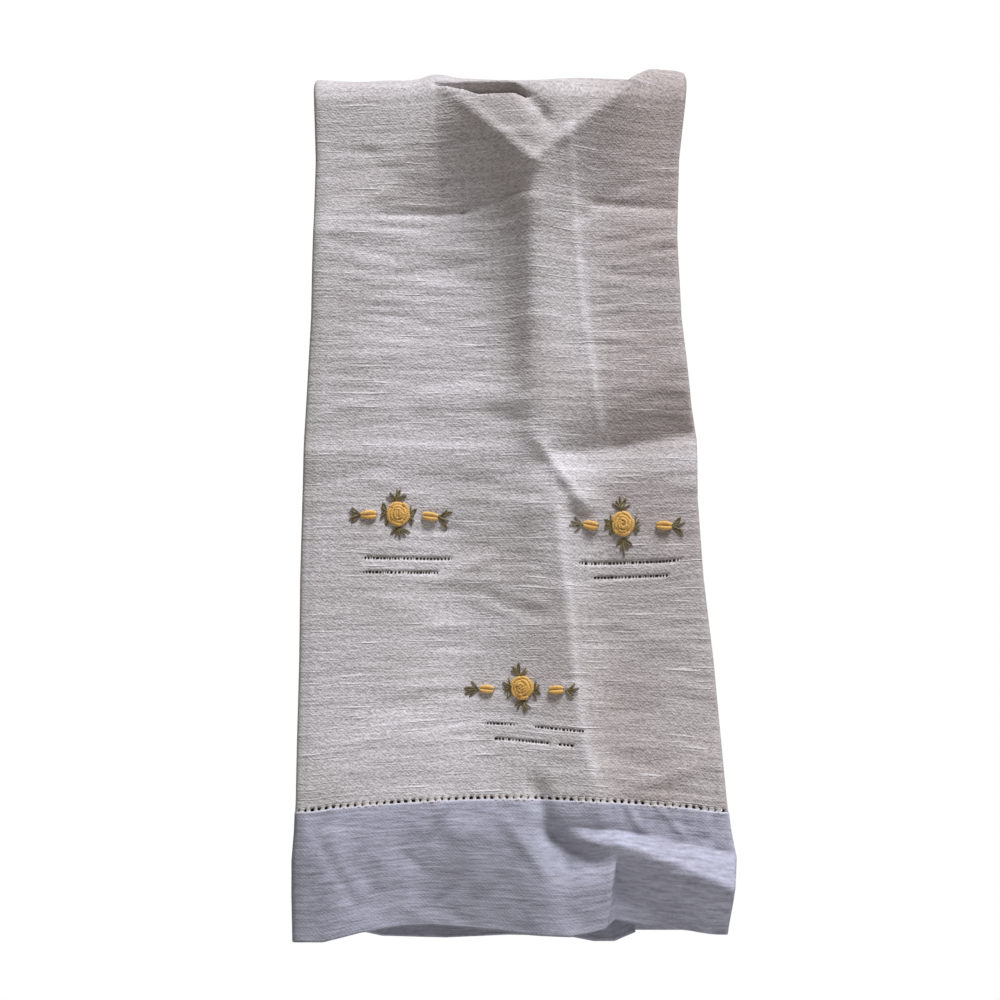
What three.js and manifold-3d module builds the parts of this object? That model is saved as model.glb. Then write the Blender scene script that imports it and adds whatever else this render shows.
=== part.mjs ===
import * as THREE from "three";
import { mergeVertices } from "three/addons/utils/BufferGeometryUtils.js";
import Module from "manifold-3d";

const wasm = await Module();
wasm.setup();

// Flat cloth, in millimetres
const FLAT_WIDTH = 418;
const SHEET = 1.0;
const HEM_SHEET = 1.4;

// Fold in thirds: front panel outermost, side thirds behind it
const LAYER_PITCH = 2.0;
const INNER_RADIUS = 8.0;
const MIDDLE_RADIUS = INNER_RADIUS + LAYER_PITCH;
const OUTER_RADIUS = INNER_RADIUS + 2 * LAYER_PITCH;
const BEND_REACH = 1.2;
const QUARTER_TURN = (OUTER_RADIUS * Math.PI) / 2;

// Hang: levels are measured down from the rail line at z = 0
const BOTTOM_LEVEL = -314.1;
const HEMSTITCH_LEVEL = -266.6;
const HEM_TOP_LEVEL = -268.1;
const BACK_BOTTOM_LEVEL = -312.6;
const FRONT_LEAN = 6;
const ARCH_RISE = 4.8;
const ARCH_CENTRE = 4;
const ARCH_START = -185;

// Bends across the section and rows along the cloth
const MIDDLE_STEPS = 3;
const BEND_STEPS = 4;
const PANEL_STEPS = 19;
const PLEAT_COLUMNS = [0.722, 0.752];
const ARC_STEPS = 10;
const FRONT_ROWS = [
  { from: BOTTOM_LEVEL, to: HEM_TOP_LEVEL, steps: 10 },
  { from: HEMSTITCH_LEVEL, to: -158, steps: 13 },
  { from: -152, to: -112, steps: 8 },
  { from: -104, to: -52, steps: 6 },
  { from: -47, to: -4, steps: 8 },
];
const BACK_ROWS = [
  { from: -6, to: HEMSTITCH_LEVEL, steps: 5 },
  { from: HEM_TOP_LEVEL, to: BACK_BOTTOM_LEVEL, steps: 2 },
];

// Side edges of the front panel, level by level
const PANEL_EDGES = [
  { level: -314.1, left: -75.5, right: 82.7 },
  { level: -297.6, left: -75.9, right: 84.3 },
  { level: -284.6, left: -75.9, right: 86.1 },
  { level: -274.6, left: -75.1, right: 84.3 },
  { level: -262.6, left: -74.7, right: 82.9 },
  { level: -240.6, left: -74.6, right: 81.1 },
  { level: -211.6, left: -74.2, right: 78.8 },
  { level: -181.6, left: -74.2, right: 75.5 },
  { level: -151.6, left: -73.7, right: 73.6 },
  { level: -128.6, left: -73.3, right: 73.7 },
  { level: -116.6, left: -72.7, right: 71.7 },
  { level: -82.6, left: -71.1, right: 68.3 },
  { level: -51.6, left: -70.7, right: 67.1 },
  { level: -20.6, left: -70.3, right: 68.2 },
  { level: 4.0, left: -71.3, right: 71.1 },
  { level: 12.0, left: -71.9, right: 72.1 },
];

// Lower edge of the front panel, from left to right
const LOWER_EDGE = [
  { x: -75.0, level: -314.1 },
  { x: -64.0, level: -313.8 },
  { x: -51.0, level: -310.4 },
  { x: -36.5, level: -308.3 },
  { x: -25.5, level: -307.9 },
  { x: -7.5, level: -309.4 },
  { x: 11.0, level: -311.2 },
  { x: 25.5, level: -311.6 },
  { x: 33.0, level: -310.1 },
  { x: 39.5, level: -308.3 },
  { x: 42.0, level: -306.0 },
  { x: 51.0, level: -307.9 },
  { x: 62.0, level: -309.4 },
  { x: 73.0, level: -311.2 },
  { x: 83.0, level: -313.6 },
];

// Lower edges of the two thirds behind the panel, a column of the inner third at each row
const INNER_EDGE = [
  { x: -75.5, level: -314.1 },
  { x: -55.0, level: -309.6 },
  { x: -46.0, level: -312.4 },
  { x: -20.0, level: -313.1 },
  { x: -4.0, level: -312.4 },
  { x: 5.0, level: -308.6 },
  { x: 26.0, level: -308.6 },
  { x: 34.0, level: -314.4 },
  { x: 45.0, level: -314.4 },
  { x: 52.0, level: -309.6 },
];
const MIDDLE_EDGE = [
  { x: -45.0, level: -308.0 },
  { x: 0.0, level: -308.0 },
  { x: 41.0, level: -306.2 },
  { x: 51.0, level: -307.6 },
  { x: 73.0, level: -311.0 },
  { x: 82.0, level: -314.1 },
];

// Beak of slack cloth where the panel comes over the rail; s runs down the cloth from the top line
const BEAK = {
  apexX: 12.5,
  apexS: 42.6,
  out: 17,
  leftX: -24,
  leftS: 4,
  rightX: 64,
  rightS: 1,
  sideFall: 22,
  midFall: 40,
  leftHalf: 9,
  rightHalf: 28,
  soft: 3.2,
};

// Soft folds on the front panel: a line from (x0, z0) to (x1, z1), its height and its half width.
// Above z = 0 the line runs on over the top fold.
const FOLDS = [
  { x0: -17, z0: 10.5, x1: 8, z1: 10.5, out: -2.2, half: 2.6 },
  { x0: -24, z0: 8, x1: 3, z1: -26, out: -2.6, half: 6 },
  { x0: 60, z0: 6, x1: 28, z1: -18, out: -2.0, half: 6 },
  { x0: 14, z0: -56.6, x1: 18, z1: -128.6, out: 2.2, half: 12 },
  { x0: 20, z0: -133.6, x1: 76, z1: -123.6, out: -3.6, half: 6.5 },
  { x0: 40, z0: -110.6, x1: 76, z1: -102.6, out: 2.2, half: 15 },
  { x0: 17, z0: -130.6, x1: 29, z1: -148, out: 2.6, half: 6.5 },
  { x0: 22, z0: -160.6, x1: 34, z1: -254.6, out: 1.2, half: 6 },
  { x0: -74, z0: -142.6, x1: -44, z1: -142.6, out: -1.0, half: 7 },
  { x0: -70, z0: -30.6, x1: -30, z1: -42.6, out: 1.2, half: 8 },
  { x0: -30, z0: -54.6, x1: -4, z1: -57.6, out: -1.2, half: 4 },
  { x0: 14, z0: -264.6, x1: 18.5, z1: -279.6, out: -2.6, half: 4 },
  { x0: 18.5, z0: -279.6, x1: 30, z1: -285.6, out: -2.4, half: 4 },
  { x0: -62, z0: -286.6, x1: -56, z1: -312.6, out: 2.4, half: 11 },
  { x0: -30, z0: -288.6, x1: -26, z1: -312.6, out: -1.2, half: 9 },
  { x0: 14, z0: -292.6, x1: 20, z1: -312.6, out: 2.6, half: 11 },
];
const SLACK = 3.4;
const HORNS = [
  { x: 70, out: 2.8, half: 10 },
  { x: -72, out: 1.4, half: 9 },
];

// Ledge across the right of the hem, and the pleat that stands in front of it
const LEDGE = {
  startX: 22,
  endX: 86,
  upperStart: -272.6,
  upperEnd: -280.6,
  crestStart: -277.6,
  crestEnd: -295.6,
  out: 10.5,
  fall: 13,
};
const PLEAT = { x: 41, out: 6.5, edge: 1.5, reach: 24, top: -282.6, full: -296.6 };

// Embroidery, in millimetres from each rose's own centre
const STITCH_GAP = 0.55;
const MOTIFS = [
  {
    name: "left", x: -38.0, z: -157.3, budLeft: -10.7, budRight: 11.4,
    endLeft: -16.2, endRight: 17.4, top: 7.0, bottom: -7.2,
  },
  {
    name: "right", x: 45.7, z: -161.2, budLeft: -11.9, budRight: 15.0,
    endLeft: -17.3, endRight: 20.6, top: 7.4, bottom: -7.7,
  },
  {
    name: "lower", x: 8.2, z: -221.8, budLeft: -12.7, budRight: 12.7,
    endLeft: -18.5, endRight: 18.5, top: 6.7, bottom: -7.2,
  },
];
const ROSE = { width: 8.6, length: 9.8, height: 1.7 };
const ROSE_RINGS = [
  { r: 0.0, h: 0.0 },
  { r: 0.9, h: 0.0 },
  { r: 1.0, h: 0.35 },
  { r: 0.9, h: 0.66 },
  { r: 0.73, h: 0.52 },
  { r: 0.58, h: 0.86 },
  { r: 0.42, h: 0.68 },
  { r: 0.26, h: 1.0 },
  { r: 0.0, h: 0.92 },
];
const BUD = { length: 6.6, girth: 2.0, apart: 1.75 };
const FAN_STITCHES = [
  { turn: -38, length: 4.4 },
  { turn: 0, length: 5.0 },
  { turn: 36, length: 4.3 },
];
const PAIR_STITCHES = [
  { turn: -62, length: 3.7 },
  { turn: 62, length: 3.7 },
];
const SPRAY = { width: 1.4, height: 0.9, base: -2.2, pairWest: -5.55, pairEast: 5.55 };

const clamp01 = (t) => Math.min(1, Math.max(0, t));
const mix = (a, b, t) => a + (b - a) * t;
const ease = (t) => clamp01(t) ** 2 * (3 - 2 * clamp01(t));

// Value of a table's column between its rows
function lookUp(table, key, column, at) {
  const rows = [...table].sort((a, b) => a[key] - b[key]);
  if (at <= rows[0][key]) return rows[0][column];
  for (let k = 1; k < rows.length; k++) {
    if (at <= rows[k][key]) {
      const share = (at - rows[k - 1][key]) / (rows[k][key] - rows[k - 1][key]);
      return mix(rows[k - 1][column], rows[k][column], share);
    }
  }
  return rows[rows.length - 1][column];
}

// Height of the sharp-crested beak at a point of the front panel
function sharpBeak(x, s) {
  const onLeft = x <= BEAK.apexX;
  const share = onLeft
    ? (x - BEAK.leftX) / (BEAK.apexX - BEAK.leftX)
    : (BEAK.rightX - x) / (BEAK.rightX - BEAK.apexX);
  const crestS = mix(onLeft ? BEAK.leftS : BEAK.rightS, BEAK.apexS, clamp01(share));
  const crest = (BEAK.out * crestS) / BEAK.apexS;
  if (s <= crestS) return (crest * Math.max(0, s)) / crestS;
  const half = onLeft ? BEAK.leftHalf : BEAK.rightHalf;
  const middle = Math.exp(-(((x - BEAK.apexX) / half) ** 2));
  const fall = mix(BEAK.sideFall, BEAK.midFall, middle);
  return crest * Math.exp(-(((s - crestS) / fall) ** 1.25));
}

// Height of the beak with its crests softened
function beakOut(x, s) {
  let sum = 0;
  for (const dx of [-1, 0, 1]) {
    for (const ds of [-1, 0, 1]) sum += sharpBeak(x + dx * BEAK.soft, s + ds * BEAK.soft);
  }
  return sum / 9;
}

// Height of one soft fold at a point
function foldOut(fold, x, z) {
  const dx = fold.x1 - fold.x0;
  const dz = fold.z1 - fold.z0;
  const span = Math.hypot(dx, dz);
  const along = ((x - fold.x0) * dx + (z - fold.z0) * dz) / span;
  const off = ((x - fold.x0) * dz - (z - fold.z0) * dx) / span;
  const past = Math.max(0, -along, along - span);
  return fold.out * Math.exp(-((off / fold.half) ** 2) - (past / (1.5 * fold.half)) ** 2);
}

// Height of the hem's ledge at a point
function ledgeOut(x, z) {
  const share = (x - LEDGE.startX) / (LEDGE.endX - LEDGE.startX);
  const out = LEDGE.out * ease(clamp01(share) ** 0.8);
  const upper = mix(LEDGE.upperStart, LEDGE.upperEnd, clamp01(share));
  const crest = mix(LEDGE.crestStart, LEDGE.crestEnd, clamp01(share));
  if (z >= crest) return out * ease((upper - z) / (upper - crest));
  return out * Math.exp(-(((crest - z) / LEDGE.fall) ** 2));
}

// Height of the hem's pleat at a point
function pleatOut(x, z) {
  const level = ease((PLEAT.top - z) / (PLEAT.top - PLEAT.full));
  const step = ease((PLEAT.x + PLEAT.edge - x) / (2 * PLEAT.edge));
  const back = Math.exp(-((Math.max(0, PLEAT.x - x) / PLEAT.reach) ** 2));
  return PLEAT.out * level * step * back;
}

// Distance the front panel stands out of its plain place
function panelOut(x, row) {
  if (row.s < 0) return SLACK * 0.4 * (1 - (x / 84) ** 2) * ease(-row.s / 60);
  const z = QUARTER_TURN - row.s;
  const slack = SLACK * clamp01(1 - (x / 78) ** 4) * ease((row.s - 8) / 40);
  let out = slack + beakOut(x, row.s) + ledgeOut(x, z) + pleatOut(x, z);
  for (const fold of FOLDS) out += foldOut(fold, x, z);
  const crown = Math.exp(-((row.s / 16) ** 2));
  for (const horn of HORNS) out += horn.out * crown * Math.exp(-(((x - horn.x) / horn.half) ** 2));
  return Math.max(0, out);
}

// Lift of a row of the front panel above its level at the side edges
function panelRise(x, row) {
  const arch = ARCH_RISE * (1 - clamp01(Math.abs(x - ARCH_CENTRE) / 80) ** 1.7);
  if (row.s < 0 || row.level >= HEMSTITCH_LEVEL) {
    return arch * ease((ARCH_START - row.level) / (ARCH_START - HEMSTITCH_LEVEL));
  }
  const share = (HEMSTITCH_LEVEL - row.level) / (HEMSTITCH_LEVEL - BOTTOM_LEVEL);
  const lower = lookUp(LOWER_EDGE, "x", "level", x) - BOTTOM_LEVEL;
  return mix(arch, lower, share);
}

// Lift of a hem row of a third behind the panel
function behindRise(edge, x, row) {
  if (row.s < 0 || row.level >= HEMSTITCH_LEVEL) return 0;
  const share = (HEMSTITCH_LEVEL - row.level) / (HEMSTITCH_LEVEL - BOTTOM_LEVEL);
  return share * (lookUp(edge, "x", "level", x) - BOTTOM_LEVEL);
}

// A point of the cloth's middle surface: x across, n out from the rail line
function place(x, n, row, rise) {
  const lean = row.s > 0 ? (FRONT_LEAN * row.level) / BOTTOM_LEVEL : 0;
  return new THREE.Vector3(
    x,
    -n * Math.sin(row.phi) - lean,
    n * Math.cos(row.phi) + row.level + rise,
  );
}

// Rows from the front's lower edge, over the rail, to the back's lower edge
function clothRows() {
  const rows = [];
  for (const run of FRONT_ROWS) {
    for (let k = 0; k <= run.steps; k++) {
      const level = mix(run.from, run.to, k / run.steps);
      const sheet = level <= HEM_TOP_LEVEL ? HEM_SHEET : SHEET;
      rows.push({ phi: Math.PI / 2, level, s: QUARTER_TURN - level, sheet });
    }
  }
  for (let k = 0; k <= ARC_STEPS; k++) {
    const phi = mix(Math.PI / 2, -Math.PI / 2, k / ARC_STEPS);
    rows.push({ phi, level: 0, s: OUTER_RADIUS * phi, sheet: SHEET });
  }
  for (const run of BACK_ROWS) {
    for (let k = 0; k <= run.steps; k++) {
      const level = mix(run.from, run.to, k / run.steps);
      const sheet = level <= HEM_TOP_LEVEL ? HEM_SHEET : SHEET;
      rows.push({ phi: -Math.PI / 2, level, s: level - QUARTER_TURN, sheet });
    }
  }
  return rows;
}

// Shares of the front panel's width at which it has columns
function panelColumns() {
  const shares = [];
  for (let k = 0; k <= PANEL_STEPS; k++) shares.push(k / PANEL_STEPS);
  return [...shares, ...PLEAT_COLUMNS].sort((a, b) => a - b);
}

// Shares of the inner third's width at which it has columns, from its free edge inwards
function innerColumns() {
  const first = INNER_EDGE[0].x;
  const last = INNER_EDGE[INNER_EDGE.length - 1].x;
  return INNER_EDGE.map((edge) => (edge.x - first) / (last - first)).reverse();
}

// Half turn of cloth from one layer to the next at a side edge
function bendPoints(edge, side, from, to, row) {
  const half = Math.abs(to - from) / 2;
  const reach = Math.min(half, BEND_REACH);
  const points = [];
  for (let k = 1; k < BEND_STEPS; k++) {
    const turn = mix(-Math.PI / 2, Math.PI / 2, k / BEND_STEPS);
    const n = (from + to) / 2 + (Math.sin(turn) * (to - from)) / 2;
    points.push(place(edge + side * (reach * Math.cos(turn) - reach), n, row, 0));
  }
  return points;
}

// One section of the cloth: inner third, front panel and middle third, laid back and forth
function section(row) {
  const height = row.level < 0 ? row.level : OUTER_RADIUS * Math.cos(row.phi);
  const left = lookUp(PANEL_EDGES, "level", "left", height);
  const right = lookUp(PANEL_EDGES, "level", "right", height);
  const leftOut = OUTER_RADIUS + panelOut(left, row);
  const rightOut = OUTER_RADIUS + panelOut(right, row);
  const leftHalf = (leftOut - INNER_RADIUS) / 2;
  const rightHalf = (rightOut - MIDDLE_RADIUS) / 2;
  const panelLeft = left + Math.min(leftHalf, BEND_REACH);
  const panelRight = right - Math.min(rightHalf, BEND_REACH);
  const bends = Math.PI * (leftHalf + rightHalf) * 0.9;
  const side = Math.min(
    (FLAT_WIDTH - bends - (panelRight - panelLeft)) / 2,
    panelRight - panelLeft - 4,
  );
  const points = [];
  for (const share of innerColumns()) {
    const x = panelLeft + side * share;
    points.push(place(x, INNER_RADIUS, row, behindRise(INNER_EDGE, x, row)));
  }
  points.push(...bendPoints(left, -1, INNER_RADIUS, leftOut, row));
  for (const share of panelColumns()) {
    const x = mix(panelLeft, panelRight, share);
    const edgeFade = clamp01(share * 12) * clamp01((1 - share) * 12);
    const n = OUTER_RADIUS + panelOut(x, row);
    points.push(place(x, n, row, panelRise(x, row) * edgeFade));
  }
  points.push(...bendPoints(right, 1, rightOut, MIDDLE_RADIUS, row));
  for (let k = 0; k <= MIDDLE_STEPS; k++) {
    const x = panelRight - (side * k) / MIDDLE_STEPS;
    points.push(place(x, MIDDLE_RADIUS, row, behindRise(MIDDLE_EDGE, x, row)));
  }
  return points;
}

// Closed sheet of cloth about a grid of middle points
function sheetSolid(grid, sheets) {
  const across = grid[0].length;
  const count = grid.length * across;
  const positions = new Float32Array(count * 6);
  grid.forEach((points, j) =>
    points.forEach((point, i) => {
      const du = new THREE.Vector3().subVectors(
        points[Math.min(i + 1, across - 1)],
        points[Math.max(i - 1, 0)],
      );
      const dv = new THREE.Vector3().subVectors(
        grid[Math.min(j + 1, grid.length - 1)][i],
        grid[Math.max(j - 1, 0)][i],
      );
      const normal = du.cross(dv).normalize();
      const half = sheets[j] / 2;
      const at = j * across + i;
      point.clone().addScaledVector(normal, half).toArray(positions, at * 3);
      point.clone().addScaledVector(normal, -half).toArray(positions, (count + at) * 3);
    }),
  );
  const index = [];
  const quad = (a, b, c, d) => index.push(a, b, c, a, c, d);
  const front = (i, j) => j * across + i;
  const back = (i, j) => count + j * across + i;
  const lastI = across - 1;
  const lastJ = grid.length - 1;
  for (let j = 0; j < lastJ; j++) {
    for (let i = 0; i < lastI; i++) {
      quad(front(i, j), front(i + 1, j), front(i + 1, j + 1), front(i, j + 1));
      quad(back(i, j), back(i, j + 1), back(i + 1, j + 1), back(i + 1, j));
    }
    quad(front(0, j), front(0, j + 1), back(0, j + 1), back(0, j));
    quad(front(lastI, j + 1), front(lastI, j), back(lastI, j), back(lastI, j + 1));
  }
  for (let i = 0; i < lastI; i++) {
    quad(front(i + 1, 0), front(i, 0), back(i, 0), back(i + 1, 0));
    quad(front(i, lastJ), front(i + 1, lastJ), back(i + 1, lastJ), back(i, lastJ));
  }
  const geometry = new THREE.BufferGeometry();
  geometry.setAttribute("position", new THREE.BufferAttribute(positions, 3));
  geometry.setIndex(index);
  return geometry;
}

// Frame on the outer face of the front panel: x across, y up the cloth, z off the face
function faceFrame(x, z) {
  const at = (px, pz) => {
    const row = { phi: Math.PI / 2, level: pz, s: QUARTER_TURN - pz };
    return place(px, OUTER_RADIUS + panelOut(px, row), row, 0);
  };
  const step = 3;
  const across = at(x + step, z).sub(at(x - step, z)).normalize();
  const up = at(x, z + step).sub(at(x, z - step)).normalize();
  const off = new THREE.Vector3().crossVectors(across, up).normalize();
  up.crossVectors(off, across);
  const origin = at(x, z).addScaledVector(off, SHEET / 2 + STITCH_GAP);
  return new THREE.Matrix4().makeBasis(across, up, off).setPosition(origin);
}

// Closed solid of a geometry, its seams welded
function solidOf(geometry) {
  const plain = new THREE.BufferGeometry();
  plain.setAttribute("position", geometry.getAttribute("position"));
  plain.setIndex(geometry.index);
  const welded = mergeVertices(plain, 1e-3);
  const triangles = [];
  for (let k = 0; k < welded.index.count; k += 3) {
    const [a, b, c] = [0, 1, 2].map((m) => welded.index.getX(k + m));
    if (a !== b && b !== c && a !== c) triangles.push(a, b, c);
  }
  return new wasm.Manifold(
    new wasm.Mesh({
      numProp: 3,
      vertProperties: new Float32Array(welded.getAttribute("position").array),
      triVerts: new Uint32Array(triangles),
    }),
  );
}

// Solids joined into one
function joined(geometries) {
  const mesh = wasm.Manifold.union(geometries.map(solidOf)).getMesh();
  const geometry = new THREE.BufferGeometry();
  geometry.setAttribute("position", new THREE.BufferAttribute(mesh.vertProperties, 3));
  geometry.setIndex(new THREE.BufferAttribute(mesh.triVerts, 1));
  return geometry;
}

// Rose of ringed bullion stitches, lying on its own plane
function roseGeometry() {
  const profile = ROSE_RINGS.map((ring) => new THREE.Vector2(ring.r, ring.h));
  const rose = new THREE.LatheGeometry(profile, 18);
  rose.rotateX(Math.PI / 2);
  rose.scale(ROSE.width / 2, ROSE.length / 2, ROSE.height);
  return joined([rose]);
}

// Bud of two bullion stitches side by side
function budGeometry() {
  const stitches = [-1, 1].map((side) => {
    const stitch = new THREE.CapsuleGeometry(BUD.girth / 2, BUD.length - BUD.girth, 2, 8);
    stitch.rotateZ(Math.PI / 2);
    stitch.translate(0, (side * BUD.apart) / 2, BUD.girth / 2);
    return stitch;
  });
  return joined(stitches);
}

// Spray of leaf stitches fanned from a base point, pointing along +Y
function sprayGeometry(leaves, base) {
  const stitches = leaves.map((leaf) => {
    const stitch = new THREE.SphereGeometry(0.5, 6, 5);
    stitch.scale(SPRAY.width, leaf.length, SPRAY.height);
    stitch.translate(0, leaf.length / 2 - 0.6, SPRAY.height / 2);
    stitch.rotateZ(THREE.MathUtils.degToRad(leaf.turn));
    stitch.translate(0, base, 0);
    return stitch;
  });
  return joined(stitches);
}

const towel = new THREE.Group();
towel.name = "embroidered_towel";

// Adds a named body with its own finish
function addBody(name, geometry, colour, roughness) {
  geometry.computeVertexNormals();
  const finish = new THREE.MeshStandardMaterial({ color: colour, roughness, metalness: 0 });
  const mesh = new THREE.Mesh(geometry, finish);
  mesh.name = name;
  towel.add(mesh);
}

const rows = clothRows();
addBody("towel", sheetSolid(rows.map(section), rows.map((row) => row.sheet)), "#cfc9cb", 0.9);

const YELLOW = "#d6ab62";
const GREEN = "#726a45";
for (const motif of MOTIFS) {
  const set = (name, geometry, dx, dz, turn, colour) => {
    geometry.rotateZ(THREE.MathUtils.degToRad(turn));
    geometry.applyMatrix4(faceFrame(motif.x + dx, motif.z + dz));
    addBody(`${name}_${motif.name}`, geometry, colour, 0.65);
  };
  set("rose", roseGeometry(), 0, 0, 0, YELLOW);
  set("bud_w", budGeometry(), motif.budLeft, -0.5, 0, YELLOW);
  set("bud_e", budGeometry(), motif.budRight, -0.8, 0, YELLOW);
  set("leaf_end_w", sprayGeometry(FAN_STITCHES, SPRAY.base), motif.endLeft, -0.6, 90, GREEN);
  set("leaf_end_e", sprayGeometry(FAN_STITCHES, SPRAY.base), motif.endRight, -0.9, -90, GREEN);
  set("leaf_top", sprayGeometry(FAN_STITCHES, SPRAY.base), -0.8, motif.top + 0.6, 0, GREEN);
  set("leaf_low", sprayGeometry(FAN_STITCHES, SPRAY.base), 0.4, motif.bottom - 0.6, 180, GREEN);
  set("leaf_in_w", sprayGeometry(PAIR_STITCHES, 0), SPRAY.pairWest, 0.2, 90, GREEN);
  set("leaf_in_e", sprayGeometry(PAIR_STITCHES, 0), SPRAY.pairEast, -0.6, -90, GREEN);
}

export default towel;
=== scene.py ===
"""Embroidered linen towel, folded in thirds and hung double over a rail line.

Each class below is one sub-assembly of the towel. Sizes are in millimetres in the
row frame: +Z up, the rail line at z = 0, the front panel facing -Y.
"""

import logging
import math
from dataclasses import dataclass, field
from enum import Enum
from functools import cached_property, partial
from typing import Any, Sequence

import bpy
import numpy as np
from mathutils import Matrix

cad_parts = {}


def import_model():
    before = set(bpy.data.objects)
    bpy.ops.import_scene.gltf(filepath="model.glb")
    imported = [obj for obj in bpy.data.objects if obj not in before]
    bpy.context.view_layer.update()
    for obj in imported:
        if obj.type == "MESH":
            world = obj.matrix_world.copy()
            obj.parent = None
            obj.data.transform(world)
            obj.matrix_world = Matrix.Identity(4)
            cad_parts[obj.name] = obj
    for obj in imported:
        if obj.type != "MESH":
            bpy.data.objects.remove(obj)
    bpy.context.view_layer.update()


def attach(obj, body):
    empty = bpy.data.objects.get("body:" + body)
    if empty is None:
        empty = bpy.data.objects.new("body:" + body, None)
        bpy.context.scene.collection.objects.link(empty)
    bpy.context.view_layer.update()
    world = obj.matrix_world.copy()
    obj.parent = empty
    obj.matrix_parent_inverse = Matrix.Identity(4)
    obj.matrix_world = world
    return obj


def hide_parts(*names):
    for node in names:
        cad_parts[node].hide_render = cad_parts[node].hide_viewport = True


LOG = logging.getLogger("towel")
MM = 0.001
Array = np.ndarray


class Layer(Enum):
    """The three thicknesses of the cloth folded in thirds."""

    INNER = "inner third"
    PANEL = "front panel"
    MIDDLE = "middle third"


class Heart(Enum):
    """How the last short stitches of a rose lie."""

    UPRIGHT = "upright"
    SWIRL = "swirl"
    SLANT = "slant"


def linear(code: str) -> tuple[float, float, float, float]:
    """Turn an sRGB hex colour to linear light.

    Args:
        code: Six hex digits with a leading hash.

    Returns:
        Linear red, green, blue and an alpha of one.
    """
    parts = [int(code[k : k + 2], 16) / 255 for k in (1, 3, 5)]
    low, high = [p / 12.92 for p in parts], [((p + 0.055) / 1.055) ** 2.4 for p in parts]
    red, green, blue = (a if p <= 0.04045 else b for p, a, b in zip(parts, low, high))
    return red, green, blue, 1.0


def add_node(
    tree: bpy.types.NodeTree,
    kind: str,
    inputs: dict[Any, Any] | None = None,
    **settings: Any,
) -> bpy.types.Node:
    """Add a shader node with its settings, values and links.

    Args:
        tree: Node tree that gets the node.
        kind: Blender's node type name.
        inputs: Socket name or index to a value, or to the output socket or node that feeds it.
        settings: Properties set on the node itself.

    Returns:
        The new node.
    """
    node = tree.nodes.new(kind)
    for name, value in settings.items():
        setattr(node, name, value)
    for key, value in (inputs or {}).items():
        if isinstance(value, bpy.types.Node):
            value = value.outputs[0]
        if isinstance(value, bpy.types.NodeSocket):
            tree.links.new(value, node.inputs[key])
        else:
            node.inputs[key].default_value = value
    return node


def ease(share: Array | float) -> Array:
    """Smooth step from 0 to 1."""
    share = np.clip(share, 0, 1)
    return share * share * (3 - 2 * share)


def mix(a: Any, b: Any, share: Any) -> Any:
    """Value a share of the way from a to b."""
    return a + (b - a) * share


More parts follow.
